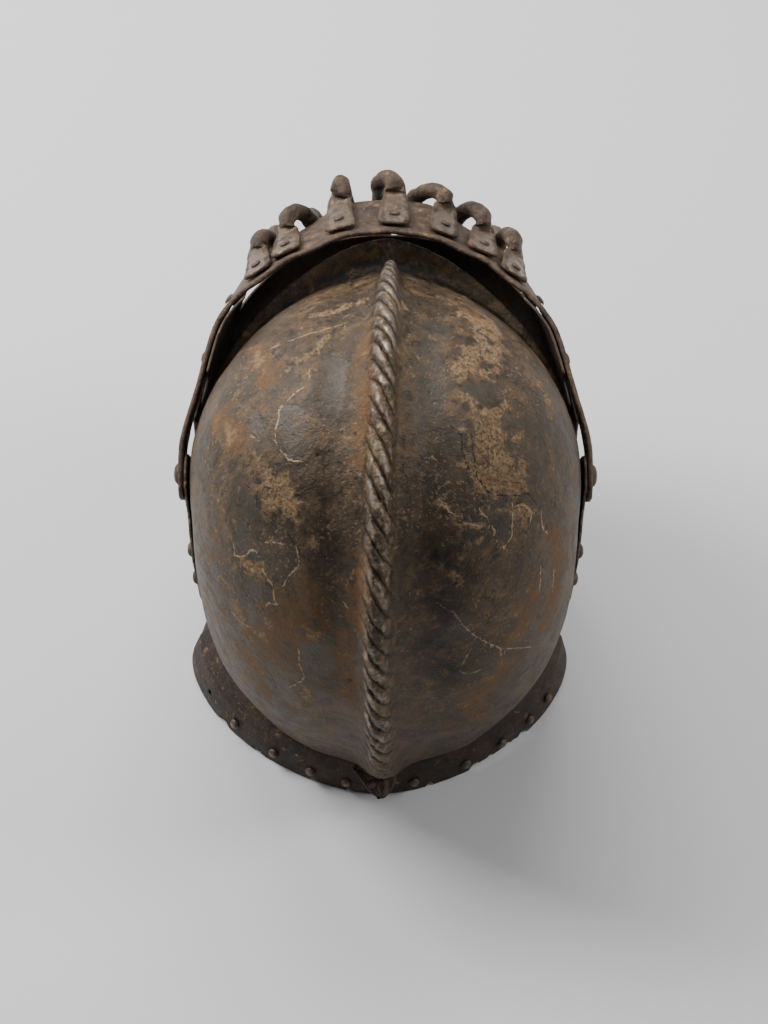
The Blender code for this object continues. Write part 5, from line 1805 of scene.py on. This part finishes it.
        # Painted shade on the inner faces: darkened towards a near-black copy of the deep patina.
        colour = wires.tint(wires.times(inside, 0.7), colour, tuple(share * 0.45 for share in self.deep))
        smooth, dry = self.roughness
        roughness = wires.blend(wires.window(mottle, 0.35, 0.65), smooth, dry)
        roughness = wires.blend(slate_mask, roughness, smooth * 0.9)
        roughness = wires.blend(wires.math("MAXIMUM", crust_mask, rust_mask), roughness, CRUST_ROUGHNESS)
        roughness = wires.blend(bare, roughness, BARE_ROUGHNESS)
        metallic = wires.blend(wires.math("MAXIMUM", crust_mask, rust_mask), PATINA_METAL, 0.0)
        metallic = wires.blend(bare, metallic, BARE_METAL)
        height = wires.times(pits.outputs["Height"], wires.blend(slate_mask, 1.0, 0.45))
        height = wires.plus(height, wires.times(crust_mask, 0.22))
        height = wires.plus(height, wires.times(line.outputs["Mask"], 0.18))
        height = wires.minus(height, wires.times(crack.outputs["Mask"], 0.5))
        height = wires.plus(height, wires.times(fine, 0.30))
        height = wires.plus(height, wires.times(strand.outputs["Height"], 1.6))
        bump = wires.add("ShaderNodeBump", {"Strength": 1.0, "Distance": self.tooth, "Height": height})
        shader.inputs["Specular IOR Level"].default_value = PATINA_GLOSS
        for socket, value in (("Base Color", colour), ("Roughness", roughness), ("Metallic", metallic),
                              ("Normal", bump.outputs["Normal"])):
            wires.link(value, shader, socket)


_EFFECTS: list[Effects] = []


def effects() -> Effects:
    """Returns the shared effects, built on first use."""
    if not _EFFECTS:
        _EFFECTS.append(Effects())
    return _EFFECTS[0]


class Irons(Enum):
    """The helmet's irons."""

    BOWL = IronFinish(
        "Bowl iron", deep=(0.021, 0.0155, 0.010), base=(0.072, 0.050, 0.031), warm=(0.150, 0.092, 0.046),
        slate=(0.044, 0.047, 0.046), rust=(0.140, 0.060, 0.017), crust=(0.205, 0.122, 0.055),
        pale=(0.330, 0.228, 0.130), bare=(0.390, 0.310, 0.235), wear_gain=1.05, fleck_share=0.46,
        rust_share=0.46, roughness=(0.40, 0.62), tooth=0.00075, tooth_scale=330.0)
    VISOR = IronFinish(
        "Visor iron", deep=(0.030, 0.021, 0.015), base=(0.105, 0.070, 0.048), warm=(0.175, 0.112, 0.072),
        slate=(0.100, 0.095, 0.088), rust=(0.150, 0.070, 0.034), crust=(0.300, 0.190, 0.100),
        pale=(0.330, 0.240, 0.160), bare=(0.330, 0.250, 0.185), wear_gain=0.75, fleck_share=0.44,
        rust_share=0.45, roughness=(0.46, 0.70), tooth=0.0012, tooth_scale=230.0)
    COLLAR = IronFinish(
        "Collar iron", deep=(0.016, 0.012, 0.010), base=(0.040, 0.028, 0.020), warm=(0.075, 0.046, 0.028),
        slate=(0.045, 0.045, 0.044), rust=(0.110, 0.048, 0.020), crust=(0.230, 0.130, 0.060),
        pale=(0.330, 0.230, 0.140), bare=(0.280, 0.230, 0.180), wear_gain=0.55, fleck_share=0.40,
        rust_share=0.40, roughness=(0.48, 0.68), tooth=0.00060, tooth_scale=300.0)
    RIVET = IronFinish(
        "Rivet iron", deep=(0.028, 0.020, 0.015), base=(0.085, 0.060, 0.044), warm=(0.130, 0.085, 0.058),
        slate=(0.060, 0.058, 0.055), rust=(0.120, 0.055, 0.026), crust=(0.220, 0.140, 0.080),
        pale=(0.260, 0.185, 0.120), bare=(0.270, 0.205, 0.150), wear_gain=0.8, fleck_share=0.30,
        rust_share=0.30, roughness=(0.42, 0.62), tooth=0.00035, tooth_scale=420.0)


# The studio


@dataclass
class Studio:
    """A pale floor, soft lights and the camera at the photograph's angle."""

    lens: float = 85.0
    sensor: float = 36.0
    distance: float = 1.33
    azimuth: float = 180.3
    elevation: float = 55.0
    middle: tuple[float, float] = (385.5, 475.0)
    frame_size: tuple[int, int] = (768, 1024)
    floor_half: float = 12.0
    floor_colour: Row = (0.72, 0.72, 0.725)
    floor_roughness: float = 0.85
    sky_colour: Row = (0.80, 0.82, 0.85)
    sky_strength: float = 0.22

    LIGHTS = (
        # name, place, size, power
        ("top_light", (0.10, -0.95, 1.55), (1.1, 0.8), 22.0),
        ("side_light", (1.15, -0.60, 1.25), (0.7, 0.9), 38.0),
        ("far_light", (-1.40, -0.10, 1.05), (0.6, 0.9), 13.0),
    )

    def camera(self) -> None:
        """Puts the camera so that the pivots' middle lies where the photograph has it."""
        turn, tilt = math.radians(self.azimuth), math.radians(self.elevation)
        back = Vector((math.sin(turn) * math.cos(tilt), -math.cos(turn) * math.cos(tilt), math.sin(tilt)))
        right = Vector((math.cos(turn), math.sin(turn), 0.0))
        up = back.cross(right)
        focal = self.frame_size[1] * self.lens / self.sensor
        off_x = (self.middle[0] - self.frame_size[0] / 2) / focal * self.distance
        off_y = (self.frame_size[1] / 2 - self.middle[1]) / focal * self.distance
        matrix = Matrix((right, up, back)).transposed().to_4x4()
        matrix.translation = PIVOT + back * self.distance - right * off_x - up * off_y
        data = bpy.data.cameras.new("camera")
        data.sensor_fit = "VERTICAL"
        data.sensor_height = self.sensor
        data.lens = self.lens
        seen = add_object("camera", data)
        seen.matrix_world = matrix
        bpy.context.scene.camera = seen

    def floor(self) -> None:
        """Makes the floor."""
        mesh = bpy.data.meshes.new("floor")
        half = self.floor_half
        mesh.from_pydata([(-half, -half, 0.0), (half, -half, 0.0), (half, half, 0.0), (-half, half, 0.0)], [],
                         [(0, 1, 2, 3)])
        mesh.update()
        pale = bpy.data.materials.new("Pale floor")
        pale.use_nodes = True
        shader = pale.node_tree.nodes["Principled BSDF"]
        shader.inputs["Base Color"].default_value = opaque(self.floor_colour)
        shader.inputs["Roughness"].default_value = self.floor_roughness
        mesh.materials.append(pale)
        floor = add_object("floor", mesh)

    def light(self, name: str, at: Row, size: tuple[float, float], power: float) -> None:
        """Hangs one soft light that faces the helmet."""
        data = bpy.data.lights.new(name, "AREA")
        data.shape = "RECTANGLE"
        data.size, data.size_y = size
        data.energy = power
        lamp = add_object(name, data)
        lamp.location = at
        lamp.rotation_mode = "QUATERNION"
        lamp.rotation_quaternion = (PIVOT - Vector(at)).to_track_quat("-Z", "Y")

    def build(self) -> None:
        """Sets up the camera, the floor and the lights."""
        self.camera()
        self.floor()
        world = bpy.data.worlds.new("studio")
        world.use_nodes = True
        sky = world.node_tree.nodes["Background"]
        sky.inputs[0].default_value = opaque(self.sky_colour)
        sky.inputs[1].default_value = self.sky_strength
        bpy.context.scene.world = world
        for lamp in self.LIGHTS:
            self.light(*lamp)


def main() -> None:
    """Builds the helmet and its studio."""
    logging.basicConfig(level=logging.INFO, format="%(name)s: %(message)s")
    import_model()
    Studio().build()
    bowl = Bowl()
    bevor = Bevor(bowl)
    visor = Visor(bevor)
    collar = Collar(bowl, bevor)
    tail = Tail(bowl)
    for part in (bowl, bevor, visor, collar, tail, Riveting(bevor, visor, collar, tail)):
        part.build()


if __name__ == "__main__":
    main()
